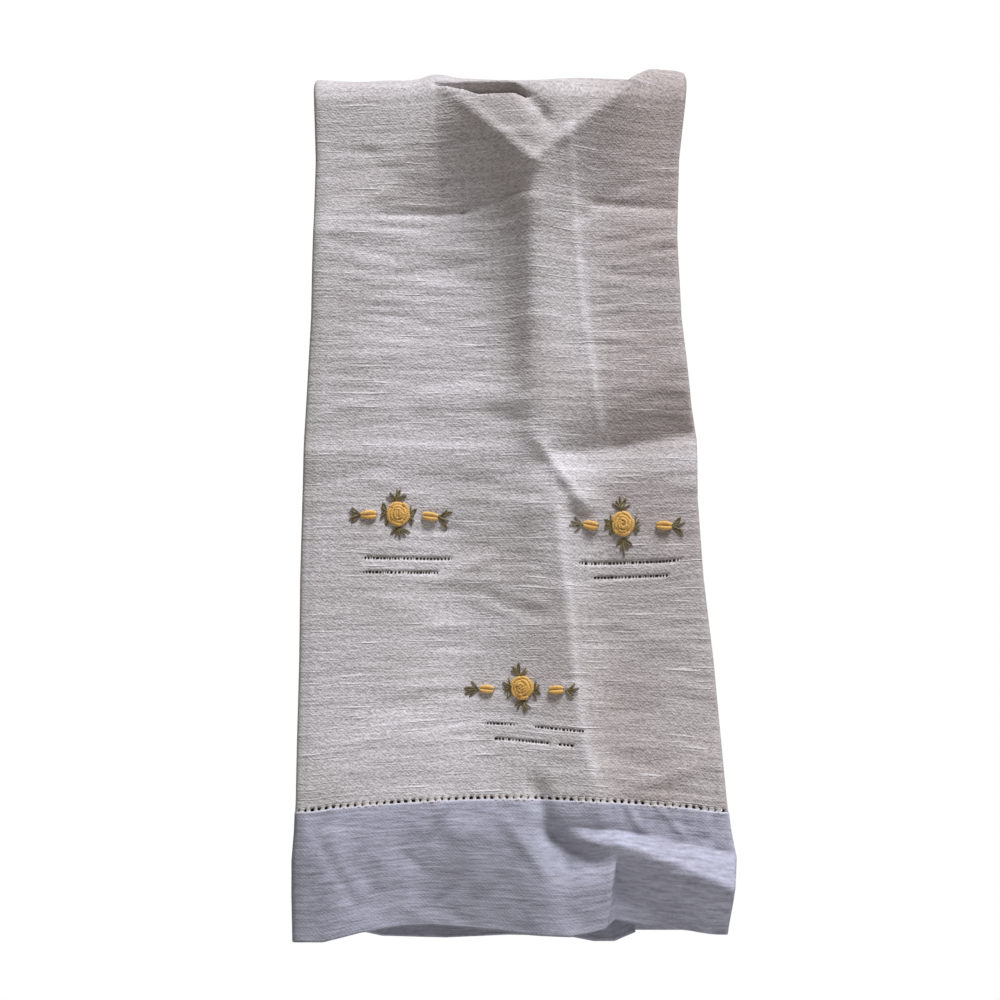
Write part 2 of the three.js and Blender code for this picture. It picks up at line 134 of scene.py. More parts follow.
@dataclass(frozen=True)
class SlubLinen:
    """Plain-weave slubbed linen, washed soft and woven off-white.

    To the eye: a dull, slightly furry surface of uneven threads, short light flecks and soft bands
    along the weft, and a few long thick threads. A size in a pair is along the weft and across it.
    """

    name: str
    light: str
    shade: str
    slub: str
    worn_and_highlight: str
    warm: str
    aged: str
    thread_mm: float = 0.75
    drift_mm: float = 2.5
    drift_reach: float = 2.6
    weave_tone: float = 0.2
    weave_relief: float = 0.16
    fleck_mm: tuple[float, float] = (1.9, 0.8)
    fleck_tone: float = 1.4
    fibre_mm: float = 0.8
    fibre_tone: float = 0.8
    band_mm: tuple[float, float] = (34.0, 2.4)
    band_tone: float = 0.75
    band_relief: float = 1.8
    stain_mm: tuple[float, float] = (46.0, 58.0)
    stain_from: float = 0.42
    stain_full: float = 0.68
    stain_tone: float = 0.3
    slub_mm: tuple[float, float] = (20.0, 1.3)
    slub_share: float = 0.63
    slub_edge: float = 0.16
    slub_tone: float = 0.5
    slub_relief: float = 2.0
    relief_mm: float = 0.25
    roughness: float = 0.92
    sheen: float = 0.12

    def material(self) -> bpy.types.Material:
        """Make the cloth's procedural material on its own flat UV map.

        Returns:
            The material, its weave drawn at the real thread spacing.
        """
        made = bpy.data.materials.new(self.name)
        made.use_nodes = True
        tree = made.node_tree
        tree.nodes.clear()
        node = partial(add_node, tree)
        flat = node("ShaderNodeUVMap", uv_map="flat")
        mm = node("ShaderNodeVectorMath", {0: flat, 3: 1 / MM}, operation="SCALE")
        # The weave, its threads wandering a little so that it isn't ruled
        drift = node("ShaderNodeTexNoise", {"Vector": mm, "Scale": 1 / self.drift_mm, "Detail": 2.0})
        wander = node(
            "ShaderNodeVectorMath",
            {0: drift.outputs["Color"], 3: self.drift_reach},
            operation="SCALE",
        )
        threads = node("ShaderNodeVectorMath", {0: mm, 1: wander}, operation="ADD")
        turned = node("ShaderNodeVectorMath", {0: threads, 3: math.pi / self.thread_mm}, operation="SCALE")
        axes = node("ShaderNodeSeparateXYZ", {0: turned})
        warp = node("ShaderNodeMath", {0: axes.outputs[0]}, operation="SINE")
        weft = node("ShaderNodeMath", {0: axes.outputs[1]}, operation="SINE")
        weave = node("ShaderNodeMath", {0: warp, 1: weft}, operation="MULTIPLY")
        # Drawn out along the weft: flecks of thick and thin yarn, bands where the weft was beaten closer
        # or wider, slubs a few centimetres long, and washed-in stains as wide as a palm
        drawn = []
        for (along, across), detail in (
            (self.fleck_mm, 1.0),
            (self.band_mm, 2.0),
            (self.slub_mm, 1.0),
            (self.stain_mm, 2.0),
        ):
            lain = node("ShaderNodeMapping", {"Vector": mm, "Scale": (1 / along, 1 / across, 1.0)})
            drawn.append(node("ShaderNodeTexNoise", {"Vector": lain, "Scale": 1.0, "Detail": detail}))
        fleck, band, thick, patch = drawn
        # Light and shade of the yarn, with loose fibre all over
        fibre = node("ShaderNodeTexNoise", {"Vector": mm, "Scale": 1 / self.fibre_mm, "Detail": 1.0})
        middle = 0.5 - 0.5 * (self.fleck_tone + self.fibre_tone + self.band_tone)
        banded = node("ShaderNodeMath", {0: band, 1: self.band_tone, 2: middle}, operation="MULTIPLY_ADD")
        flecked = node("ShaderNodeMath", {0: fleck, 1: self.fleck_tone, 2: banded}, operation="MULTIPLY_ADD")
        furred = node("ShaderNodeMath", {0: fibre, 1: self.fibre_tone, 2: flecked}, operation="MULTIPLY_ADD")
        tone = node("ShaderNodeMath", {0: weave, 1: self.weave_tone, 2: furred}, operation="MULTIPLY_ADD")
        cloth = node(
            "ShaderNodeMix",
            {0: tone, 6: linear(self.shade), 7: linear(self.light)},
            data_type="RGBA",
        )
        stain = node(
            "ShaderNodeMapRange",
            {0: patch, 1: self.stain_from, 2: self.stain_full, 3: 0.0, 4: self.stain_tone},
        )
        # Yellow tone, partly real and partly painted shade: darker on the right and towards the top;
        # multiplied in with the stains
        yellowed_and_shade = node("ShaderNodeAttribute", attribute_name="yellowed_and_shade")
        stain_and_shade = node("ShaderNodeMath", {0: stain, 1: yellowed_and_shade.outputs["Fac"]}, operation="ADD")
        stained_and_shaded = node(
            "ShaderNodeMix",
            {0: stain_and_shade, 6: cloth.outputs[2], 7: linear(self.warm)},
            data_type="RGBA",
            blend_type="MULTIPLY",
        )
        slub = node(
            "ShaderNodeMapRange",
            {0: thick, 1: self.slub_share, 2: self.slub_share + self.slub_edge, 3: 0.0, 4: self.slub_tone},
        )
        slubbed = node(
            "ShaderNodeMix",
            {0: slub, 6: stained_and_shaded.outputs[2], 7: linear(self.slub)},
            data_type="RGBA",
        )
        # Grey along the old outer edge, and painted shade on the middle of the hem; creases lighter from use
        # and from a painted highlight, and a painted highlight along the hem's turned edge
        greyed_and_shade = node("ShaderNodeAttribute", attribute_name="greyed_and_shade")
        edged = node(
            "ShaderNodeMix",
            {0: greyed_and_shade.outputs["Fac"], 6: slubbed.outputs[2], 7: linear(self.aged)},
            data_type="RGBA",
        )
        pressed_and_highlight = node("ShaderNodeAttribute", attribute_name="pressed_and_highlight")
        rubbed_and_lit = node(
            "ShaderNodeMix",
            {0: pressed_and_highlight.outputs["Fac"], 6: edged.outputs[2], 7: linear(self.worn_and_highlight)},
            data_type="RGBA",
        )
        raised = node("ShaderNodeMath", {0: slub, 1: self.slub_relief, 2: fleck}, operation="MULTIPLY_ADD")
        rolled = node("ShaderNodeMath", {0: band, 1: self.band_relief, 2: raised}, operation="MULTIPLY_ADD")
        height = node("ShaderNodeMath", {0: weave, 1: self.weave_relief, 2: rolled}, operation="MULTIPLY_ADD")
        bump = node("ShaderNodeBump", {"Strength": 1.0, "Distance": self.relief_mm * MM, "Height": height})
        shader = node(
            "ShaderNodeBsdfPrincipled",
            {
                "Base Color": rubbed_and_lit.outputs[2],
                "Roughness": self.roughness,
                "Specular IOR Level": 0.15,
                "Sheen Weight": self.sheen,
                "Sheen Roughness": 0.5,
                "Normal": bump,
            },
        )
        node("ShaderNodeOutputMaterial", {0: shader})
        return made


@dataclass(frozen=True)
class StrandedFloss:
    """Stranded cotton embroidery thread, mercerised.

    To the eye: a soft silky light on the crown of each turn, and dark grooves between the turns, both partly
    painted into the thread's colour.
    """

    name: str
    light: str
    # Painted shade in the grooves between turns and under the thread
    groove_shade: str
    faded: str
    strand_mm: float = 0.35
    strand_tone: float = 0.5
    groove_level: float = 0.25
    crown_level: float = 1.15
    relief_mm: float = 0.05
    roughness: float = 0.5
    sheen: float = 0.3

    def material(self) -> bpy.types.Material:
        """Make the thread's material from the stitch's own tone and painted shade attributes.

        Returns:
            The material, painted dark in the grooves between turns and paler on top.
        """
        made = bpy.data.materials.new(self.name)
        made.use_nodes = True
        tree = made.node_tree
        tree.nodes.clear()
        node = partial(add_node, tree)
        place = node("ShaderNodeTexCoord")
        fibre = node(
            "ShaderNodeTexNoise",
            {"Vector": place.outputs["Object"], "Scale": 1 / (self.strand_mm * MM), "Detail": 2.0},
        )
        # Painted shade, dark in the grooves and under the thread, and painted light on its crown
        crown_and_groove_shade = node("ShaderNodeAttribute", attribute_name="crown_and_groove_shade")
        tone = node("ShaderNodeAttribute", attribute_name="tone")
        lit = node(
            "ShaderNodeMath",
            {0: fibre, 1: self.strand_tone, 2: crown_and_groove_shade.outputs["Fac"]},
            operation="MULTIPLY_ADD",
        )
        level = node(
            "ShaderNodeMapRange",
            {0: lit, 1: self.groove_level, 2: self.crown_level, 3: 0.0, 4: 1.0},
        )
        wound = node(
            "ShaderNodeMix",
            {0: level, 6: linear(self.groove_shade), 7: linear(self.light)},
            data_type="RGBA",
        )
        aged = node(
            "ShaderNodeMix",
            {0: tone.outputs["Fac"], 6: wound.outputs[2], 7: linear(self.faded)},
            data_type="RGBA",
        )
        bump = node("ShaderNodeBump", {"Strength": 0.5, "Distance": self.relief_mm * MM, "Height": fibre})
        shader = node(
            "ShaderNodeBsdfPrincipled",
            {
                "Base Color": aged.outputs[2],
                "Roughness": self.roughness,
                "Specular IOR Level": 0.4,
                "Sheen Weight": self.sheen,
                "Normal": bump,
            },
        )
        node("ShaderNodeOutputMaterial", {0: shader})
        return made


BODY_LINEN = SlubLinen(
    "slubbed_plain_weave_linen",
    light="#dad7d8",
    shade="#9f9b9a",
    slub="#e9e7e8",
    # Lighter colour of the creases, partly from use and partly a painted highlight
    worn_and_highlight="#e6e4e5",
    # Multiplied in for the stains and for the yellow tone, which is partly painted shade
    warm="#cfc5bd",
    aged="#a7aba4",
)
HEM_LINEN = SlubLinen(
    "doubled_hem_linen",
    light="#b5b8c7",
    shade="#8b8a95",
    slub="#cdccd6",
    # Lighter colour of the painted highlight along the hem's turned edge
    worn_and_highlight="#d0cfda",
    warm="#e6dfdf",
    # Grey of the old edge, and of the painted shade on the middle of the hem
    aged="#7a7b82",
    weave_tone=0.06,
    fleck_mm=(6.0, 1.1),
    fibre_mm=1.4,
    fibre_tone=0.6,
    slub_mm=(30.0, 1.6),
    slub_share=0.71,
    slub_relief=0.6,
    relief_mm=0.19,
)
# Each thread's second colour is its painted shade in the grooves and under the thread
YELLOW_FLOSS = StrandedFloss("yellow_stranded_cotton", "#dbac52", "#7e4c14", "#e8c888")
GREEN_FLOSS = StrandedFloss("olive_stranded_cotton", "#584b20", "#322810", "#887b4b")
LINEN_THREAD = StrandedFloss("linen_sewing_thread", "#c2bcb8", "#837c78", "#ccc7c4", roughness=0.8, sheen=0.1)
BARE_THREAD = StrandedFloss("bare_linen_warp", "#cac4c1", "#78726f", "#d6d0cd", roughness=0.85, sheen=0.1)


@dataclass(frozen=True)
class Fold:
    """A fold along a straight line of the front panel, from its left or upper end.

    Its half width is given above or right of the line, and its lee below or left of it.
    A power under two gives it a crisper crest. Past its ends it dies away over some half widths.
    """

    x0: float
    z0: float
    x1: float
    z1: float
    out: float
    half: float
    lee: float | None = None
    power: float = 2.0
    ends: float = 1.5

    def height(self, x: Array, z: Array) -> Array:
        """Height of the fold over the plain cloth at (x, z).

        Args:
            x: Places across the towel.
            z: Levels.

        Returns:
            Heights, in millimetres out of the cloth.
        """
        dx, dz = self.x1 - self.x0, self.z1 - self.z0
        span = math.hypot(dx, dz)
        along = ((x - self.x0) * dx + (z - self.z0) * dz) / span
        off = ((x - self.x0) * dz - (z - self.z0) * dx) / span
        past = np.maximum(0, np.maximum(-along, along - span))
        wide = np.where(off < 0, self.half, self.lee or self.half)
        return self.out * np.exp(-(np.abs(off / wide) ** self.power) - (past / (self.ends * self.half)) ** 2)


@dataclass(frozen=True)
class WrinkleFamily:
    """Many small slack wrinkles of one kind, over one part of the front."""

    low: float
    high: float
    left: float
    right: float
    count: int
    longest: float
    slant: float
    least: float
    most: float
    thin: float
    wide: float

    def spread(self, rng: np.random.Generator) -> list[Fold]:
        """Lay the wrinkles at random places, standing out or in.

        Args:
            rng: Where the random numbers come from.

        Returns:
            The wrinkles, as small folds.
        """
        made = []
        for _ in range(self.count):
            x, z = rng.uniform(self.left, self.right), rng.uniform(self.low, self.high)
            length, tilt = rng.uniform(self.longest / 3, self.longest), rng.normal(0, self.slant)
            out = rng.choice((-1, 1)) * rng.uniform(self.least, self.most)
            made.append(Fold(x, z, x + length, z + length * tilt, out, rng.uniform(self.thin, self.wide)))
        return made


@dataclass(frozen=True)
class PressedCrease:
    """A crease ironed down the cloth, as (x, z) points from the top, lighter along it, partly from use and
    partly a painted highlight.
    """

    points: tuple[tuple[float, float], ...]
    out: float
    half: float
    # How much lighter along the crease, partly from use and partly a painted highlight on its crest
    rubbed_and_lit: float

    def closeness(self, x: Array, z: Array) -> Array:
        """Closeness of (x, z) to the crease.

        Args:
            x: Places across the towel.
            z: Levels.

        Returns:
            One on the line, falling to nothing beside it and past its ends.
        """
        line = np.array(self.points)[::-1]
        off = (x - np.interp(z, line[:, 1], line[:, 0])) / self.half
        past = np.maximum(0, np.maximum(line[0, 1] - z, z - line[-1, 1])) / (2 * self.half)
        return np.exp(-(off**2) - past**2)


@dataclass(frozen=True)
class Beak:
    """Slack cloth that stands out under the top fold in a V."""

    apex_x: float = 12.5
    apex_s: float = 45.0
    out: float = 16.5
    base: float = 0.3
    lip: float = 0.33
    lip_s: float = 7.0
    rim_s: float = 10.5
    full_s: float = 19.0
    left_x: float = -24.0
    left_s: float = 11.5
    right_x: float = 64.0
    right_s: float = 1.0
    left_half: float = 9.0
    right_half: float = 13.0
    steep_left: float = 19.0
    steep_right: float = 14.0
    steep_share: float = 0.85
    steep_power: float = 1.4
    middle_even: float = 0.9
    side_fall: float = 30.0
    mid_fall: float = 45.0
    fall_power: float = 1.25
    end_share: float = 0.35
    soft: float = 1.0

    def sharp(self, x: Array, s: Array) -> Array:
        """Height with knife-edged crests, at x across and s down from the top line.

        Args:
            x: Places across the towel.
            s: Cloth lengths down the front from the top line.

        Returns:
            Heights, with a sharp crest.
        """
        on_left = x <= self.apex_x
        end_x = np.where(on_left, self.left_x, self.right_x)
        end_s = np.where(on_left, self.left_s, self.right_s)
        dx, ds = self.apex_x - end_x, self.apex_s - end_s
        length = np.hypot(dx, ds)
        # Where the crest passes this column, and this point's place along the crest and distance below it
        column = (x - end_x) / dx
        crest_s = mix(end_s, self.apex_s, np.clip(column, 0, 1))
        along = ((x - end_x) * dx + (s - end_s) * ds) / length**2
        below = np.maximum(0, ((s - end_s) * np.abs(dx) - np.abs(x - end_x) * ds) / length)
        middle = np.exp(-(((x - self.apex_x) / np.where(on_left, self.left_half, self.right_half)) ** 2))
        # Under the crest the cloth falls away, steeply at first beside the middle
        share = self.steep_share * (1 - self.middle_even * middle)
        steep = np.where(on_left, self.steep_left, self.steep_right)
        fall = mix(self.side_fall, self.mid_fall, middle)
        flank = share * np.exp(-((below / steep) ** self.steep_power))
        flank = flank + (1 - share) * np.exp(-((below / fall) ** self.fall_power))
        # Over the crest a flat facet comes down from the lip of the top fold
        lip = self.lip * np.clip(s / self.lip_s, 0, 1)
        facet = mix(lip, 1, ease((s - self.rim_s) / (self.full_s - self.rim_s)))
        share = np.where(s <= crest_s, column, along)
        crest = mix(self.base, 1, 1 - (1 - np.clip(share, 0, 1)) ** 2)
        crest = crest * ease((share + self.end_share) / (2 * self.end_share))
        return self.out * crest * np.where(s <= crest_s, facet, flank)

    def height(self, x: Array, s: Array) -> Array:
        """Height with the crests softened."""
        around = [-self.soft, 0.0, self.soft]
        return sum(self.sharp(x + dx, s + ds) for dx in around for ds in around) / 9


@dataclass(frozen=True)
class Tuck:
    """Pocket where the slack cloth has sunk in under the top fold, left of the V."""

    left: float = -27.0
    right: float = 15.0
    upper: float = 14.5
    raised: float = 2.0
    lower: float = 18.5
    corner: float = 14.2
    floor: float = -0.5
    edge: float = 1.5
    scoop: float = 3.6
    deep: float = 11.0
    raised_x: float = -8.0
    raised_run: float = 14.0
    corner_slope: float = 0.23
    droop: float = 4.0
    droop_x: float = 4.0
    droop_run: float = 9.0
    droop_lower: float = 0.25
    left_run: float = 7.0
    right_run: float = 9.0
    row_step: float = 0.35

    def sunk(self, x: Array, s: Array) -> Array:
        """How far the cloth has sunk to the pocket's floor: 0 to 1.

        Args:
            x: Places across the towel.
            s: Cloth lengths down the front from the top line.

        Returns:
            Nothing outside the pocket and one on its floor.
        """
        bend = self.droop * ease((x - self.droop_x) / self.droop_run)
        upper = self.upper - self.raised * ease((self.raised_x - x) / self.raised_run) + bend
        lower = np.minimum(self.lower, self.corner + self.corner_slope * (x - self.left))
        lower = lower + self.droop_lower * bend
        across = ease((x - self.left) / self.left_run) * ease((self.right - x) / self.right_run)
        wall = 1 - (1 - np.clip((lower - s) / self.scoop, 0, 1)) ** 3
        return across * ease((s - upper) / self.edge) * wall

    def gathered(self, x: Array, s: Array) -> Array:
        """Length of cloth taken up on the pocket's walls."""
        return self.deep * self.sunk(x, s)

    def rows(self) -> Array:
        """Rows close enough to hold its edges, from the lowest up."""
        return np.arange(self.lower + 0.1, self.upper - self.raised - 0.5, -self.row_step)


@dataclass(frozen=True)
class HemLedge:
    """Ledge across the right of the hem, and the pleat that stands in front of it."""

    start_x: float = 22.0
    end_x: float = 86.0
    upper_start: float = -275.6
    upper_end: float = -283.2
    deep_start: float = 4.0
    deep_end: float = 13.0
    deep_power: float = 1.8
    start_run: float = 10.0
    slope: float = 1.1
    fall: float = 14.0
    pleat_x: float = 42.2
    pleat_lean: float = 0.15
    pleat_out: float = 6.5
    pleat_edge: float = 0.6
    pleat_reach: float = 24.0
    pleat_top: float = -287.0
    pleat_full: float = -299.0

    def height(self, x: Array, z: Array) -> Array:
        """Height of ledge and pleat together.

        Args:
            x: Places across the towel.
            z: Levels.

        Returns:
            Heights, in millimetres out of the cloth.
        """
        share = np.clip((x - self.start_x) / (self.end_x - self.start_x), 0, 1)
        upper = mix(self.upper_start, self.upper_end, share)
        deep = mix(self.deep_start, self.deep_end, share**self.deep_power)
        out = self.slope * deep * ease((x - self.start_x) / self.start_run)
        down = (upper - z) / deep
        falling = np.exp(-((deep * (down - 1) / self.fall) ** 2))
        level = ease((self.pleat_top - z) / (self.pleat_top - self.pleat_full))
        behind = self.pleat_x - self.pleat_lean * (self.pleat_top - z) - x
        step = ease((behind + self.pleat_edge) / (2 * self.pleat_edge))
        back = np.exp(-((np.maximum(0, behind) / self.pleat_reach) ** 2))
        return out * np.where(down < 1, np.clip(down, 0, 1), falling) + self.pleat_out * level * step * back


@dataclass(frozen=True)
class HemPucker:
    """Ripple that the sewing draws up along the right of the hemstitch row."""

    out: float = 0.22
    pitch: float = 5.3
    drop: float = 1.0
    reach: float = 6.0
    start_x: float = 20.0
    start_run: float = 40.0

    def height(self, x: Array, over: Array) -> Array:
        """Height of the ripple at x across, some way over the hemstitch row.

        Args:
            x: Places across the towel.
            over: Heights over the hemstitch row.

        Returns:
            Heights, in millimetres out of the cloth.
        """
        ripple = self.out * np.cos(x * 2 * math.pi / self.pitch)
        near = np.exp(-(((over + self.drop) / self.reach) ** 2))
        return ripple * near * ease((x - self.start_x) / self.start_run)


@dataclass(frozen=True)
class AskewWeft:
    """A place where the weft threads, and the lines drawn from them, run askew."""

    x: float
    z: float
    half: float
    shift: float
    slope: float
    tall: float = 8.0

    def slip(self, x: Array, z: Array) -> Array:
        """How far the weft has slipped upwards at (x, z)."""
        near = np.exp(-(((x - self.x) / self.half) ** 4) - ((z - self.z) / self.tall) ** 4)
        return near * (self.shift + self.slope * (x - self.x))


# Broad folds of the front panel
BROAD_FOLDS = (
    Fold(-40, 5, -20, 3, 3.8, 16, 22),
    Fold(13, -34, 17, -129, 4.2, 16, 17, 1.4),
    Fold(20, -135.2, 76, -126.5, -3.2, 9, 7.5),
    Fold(40, -108.6, 76, -100.6, 1.6, 12),
    Fold(18, -136, 30, -152, 2.8, 6.5, 3, 1.6),
    Fold(21.4, -158, 35.2, -268, 4.4, 8, 19, 1.5),
    Fold(-45, -264, 40, -264, 3.6, 30, 36),
    Fold(-18, -168, -8, -250, -2.2, 17),
    Fold(-72, -134.5, 13, -133.5, 1.0, 3.5, 7),
    Fold(-27, -113, 3, -112, 1.2, 3.5, 6),
    Fold(-66, -43, -20, -41.5, -0.8, 12, 5),
    Fold(-20, -41.5, 7, -35, -1.0, 11, 5),
    Fold(38, -38, 68, -40, -0.9, 11, 4.5),
    Fold(78, -80, 86, -262, 6.5, 38),
    Fold(-74, -80, -77, -262, 5.0, 42),
    Fold(14, -264.6, 18.5, -279.6, -2.6, 4),
    Fold(18.5, -279.6, 30, -285.6, -2.4, 4),
    Fold(-62, -286.6, -56, -312.6, 2.4, 11),
    Fold(-30, -288.6, -26, -312.6, -1.2, 9),
    Fold(14, -292.6, 20, -312.6, 2.6, 11),
)

# Finer wrinkles placed one by one: rolled crests of the V, its facet, the valley, the hem
FINE_FOLDS = (
    Fold(-20, 3.7, 12, -25.7, 1.3, 2.4),
    Fold(13, -25, 61, 15.5, 1.3, 2.4),
    Fold(9, -14, 22, 4, 0.9, 2.0),
    Fold(9, 2, 16.5, -8, -2.2, 2.6),
    Fold(20, -134.2, 46, -131.8, -0.7, 2.4),
    Fold(46, -131.8, 74, -126.4, -0.7, 2.4),
    Fold(-46, -48, -12, -50, -0.5, 1.4),
    Fold(-44, -43, -14, -41.5, -0.9, 1.5),
    Fold(-14, -41.5, 8, -36, -0.9, 1.5),
    Fold(36, -38, 66, -41, -0.8, 1.6),
    Fold(-64, -54, -40, -60, -0.45, 1.5),
    Fold(-40, -66, -8, -62, -0.45, 1.3),
    Fold(-60, -80, -30, -84, -0.4, 1.4),
    Fold(-66, -27, -34, -24, -0.4, 1.3),
    Fold(40, -54, 62, -50, -0.5, 1.6),
    Fold(44, -66, 64, -68, -0.5, 1.6),
    Fold(60, -270, 66, -277, 0.5, 1.4),
    Fold(46, -268, 50, -275, 0.5, 1.4),
    Fold(-20, -272, -8, -292, 0.6, 5.0),
    Fold(-48, -276, -40, -296, 0.5, 5.0),
)

PRESSED = (
    PressedCrease(
        (
            (26.3, -13.0), (27.9, -30.8), (29.7, -58.1), (31.5, -79.8),
            (33.7, -94.0), (35.5, -107.1), (37.7, -124.3),
        ),
        out=0.5,
        half=1.3,
        rubbed_and_lit=0.38,
    ),
    PressedCrease(((16.9, -132.7), (28.9, -151.6), (32.2, -155.0)), out=0.5, half=1.4, rubbed_and_lit=0.3),
    PressedCrease(
        (
            (21.4, -156.9), (23.5, -174.9), (25.7, -191.8), (26.8, -206.3),
            (28.5, -227.4), (30.7, -242.9), (33.9, -256.1),
        ),
        out=0.4,
        half=1.8,
        rubbed_and_lit=0.4,
    ),
    PressedCrease(
        ((-68.6, -30.0), (-70.6, -120.0), (-71.4, -200.0), (-72.2, -262.0)),
        out=-0.5,
        half=0.9,
        rubbed_and_lit=-0.35,
    ),
)  # fmt: skip

# Small slack wrinkles: fine ones and soft ones along the weft, and crumples of the hem at any slant.
# Each row: level from and to, x from and to, number, longest, slant, least and most height, half width
WRINKLES = (
    WrinkleFamily(-128, -14, -70, 18, 230, 18, 0.08, 0.08, 0.32, 0.7, 1.4),
    WrinkleFamily(-120, -20, 26, 66, 100, 15, 0.08, 0.08, 0.32, 0.7, 1.4),
    WrinkleFamily(-262, -140, -72, 76, 240, 16, 0.12, 0.06, 0.26, 0.7, 1.4),
    WrinkleFamily(-262, -20, -72, 72, 90, 26, 0.3, 0.18, 0.55, 1.8, 4.5),
    WrinkleFamily(-312, -268, -72, 78, 60, 14, 1.4, 0.15, 0.55, 1.6, 3.6),
)

# Under the right motif and under the lower one
ASKEW = (
    AskewWeft(48.0, -178.0, 30.0, -1.8, 0.03),
    AskewWeft(12.4, -242.5, 27.0, 0.0, -0.085),
)


@dataclass(frozen=True)
class Drape:
    """The hung form of the cloth: where each point of each layer lies."""

    flat_width: float = 418.0
    inner_radius: float = 8.0
    middle_radius: float = 10.0
    outer_radius: float = 12.0
    bend_reach: float = 1.2
    bottom: float = -314.1
    back_bottom: float = -312.6
    hemstitch: float = -266.6
    front_lean: float = 6.0
    arch_rise: float = 4.8
    arch_centre: float = 4.0
    arch_half: float = 80.0
    arch_power: float = 1.7
    arch_start: float = -185.0
    slack: float = 3.4
    slack_half: float = 78.0
    slack_from: float = 40.0
    slack_run: float = 120.0
    top_reach: float = 12.0
    inmost: float = -1.0
    fine_from: float = 2.0
    fine_run: float = 8.0
    relief_half: float = 90.0
    relief_low: float = -320.0
    relief_high: float = 20.0
    relief_step: float = 0.75
    back_slack: float = 0.4
    back_half: float = 84.0
    back_run: float = 60.0
    back_fine: float = 0.6
    back_fine_run: float = 30.0
    bends_length: float = 14.0
    side_clear: float = 4.0
    edge_fade: float = 12.0
    corner_lift: float = 3.0
    wrinkle_seed: int = 7
    beak: Beak = Beak()
    tuck: Tuck = Tuck()
    ledge: HemLedge = HemLedge()
    pucker: HemPucker = HemPucker()
    # Side edges of the front panel by level: level, left, right
    edges: tuple[tuple[float, float, float], ...] = (
        (-314.1, -75.5, 82.7), (-297.6, -75.9, 84.3), (-284.6, -75.9, 86.1), (-274.6, -75.1, 84.3),
        (-262.6, -74.7, 82.9), (-240.6, -74.6, 81.1), (-211.6, -74.2, 78.8), (-181.6, -74.2, 75.5),
        (-151.6, -73.7, 73.6), (-128.6, -73.3, 73.7), (-116.6, -72.7, 71.7), (-82.6, -71.1, 68.3),
        (-51.6, -70.7, 67.1), (-20.6, -70.3, 68.2), (4.0, -71.3, 71.1), (12.0, -71.9, 72.1),
    )  # fmt: skip
    # Lower edges from left to right: x, level
    lower_edge: tuple[tuple[float, float], ...] = (
        (-75.0, -314.1), (-64.0, -313.8), (-51.0, -310.4), (-36.5, -308.3), (-25.5, -307.9),
        (-7.5, -309.4), (11.0, -311.2), (25.5, -311.6), (33.0, -310.1), (39.5, -308.3),
        (42.0, -306.0), (51.0, -307.9), (62.0, -309.0), (73.0, -310.2), (83.0, -311.1),
    )  # fmt: skip
    inner_edge: tuple[tuple[float, float], ...] = (
        (-75.5, -314.1), (-55.0, -309.6), (-46.0, -312.4), (-20.0, -313.1), (-4.0, -312.4),
        (5.0, -312.0), (26.0, -312.8), (34.0, -314.4), (45.0, -314.4), (52.0, -309.6),
    )  # fmt: skip
    middle_edge: tuple[tuple[float, float], ...] = (
        (-45.0, -308.0), (0.0, -308.0), (41.0, -306.2), (51.0, -307.6), (73.0, -310.6), (82.0, -311.1),
    )  # fmt: skip
    # Places where the top fold stands up or dips: x, height, half width
    horns: tuple[tuple[float, float, float], ...] = (
        (67.0, 3.0, 8.5),
        (44.0, -1.2, 13.0),
        (-70.0, 1.2, 14.0),
        (-53.0, -1.8, 15.0),
        (-24.0, 3.9, 7.0),
        (0.0, -5.8, 30.0),
    )

    @property
    def quarter(self) -> float:
        """Length of cloth from the top line to where the front hangs straight."""
        return self.outer_radius * math.pi / 2

    @cached_property
    def wrinkles(self) -> tuple[Fold, ...]:
        """Every small slack wrinkle of the front."""
        rng = np.random.default_rng(self.wrinkle_seed)
        return tuple(fold for family in WRINKLES for fold in family.spread(rng))

    @cached_property
    def relief(self) -> tuple[Array, Array, Array]:
        """Height of all the fine folds on a grid over the front.

        Returns:
            Places across, levels, and a height for each pair of them.
        """
        across = np.arange(-self.relief_half, self.relief_half + 0.1, self.relief_step)
        levels = np.arange(self.relief_low, self.relief_high + 0.1, self.relief_step)
        x, z = np.meshgrid(across, levels)
        fine = sum(fold.height(x, z) for fold in FINE_FOLDS + self.wrinkles)
        return across, levels, fine + sum(crease.out * crease.closeness(x, z) for crease in PRESSED)

    def fine_out(self, x: Array, z: Array) -> Array:
        """Height of the fine folds at (x, z), between the grid's points.

        Args:
            x: Places across the towel.
            z: Levels.

        Returns:
            Heights, in millimetres out of the cloth.
        """
        across, levels, fine = self.relief
        u = np.clip((x - across[0]) / self.relief_step, 0, len(across) - 1.001)
        v = np.clip((z - levels[0]) / self.relief_step, 0, len(levels) - 1.001)
        i, j = u.astype(int), v.astype(int)
        lower = mix(fine[j, i], fine[j, i + 1], u - i)
        return mix(lower, mix(fine[j + 1, i], fine[j + 1, i + 1], u - i), v - j)

    def turn(self, s: Array) -> tuple[Array, Array]:
        """Angle round the rail line and level below it, for cloth s down from the top line."""
        phi = np.clip(s / self.outer_radius, -math.pi / 2, math.pi / 2)
        return phi, np.minimum(0, self.quarter - np.abs(s))

    def sides(self, s: Array) -> tuple[Array, Array]:
        """Left and right edge of the front panel on the row at s.

        Args:
            s: Cloth lengths down the front from the top line, negative down the back.

        Returns:
            Places across of the left and the right edge.
        """
        phi, level = self.turn(s)
        height = np.where(level < 0, level, self.outer_radius * np.cos(phi))
        table = np.array(self.edges)
        return np.interp(height, table[:, 0], table[:, 1]), np.interp(height, table[:, 0], table[:, 2])

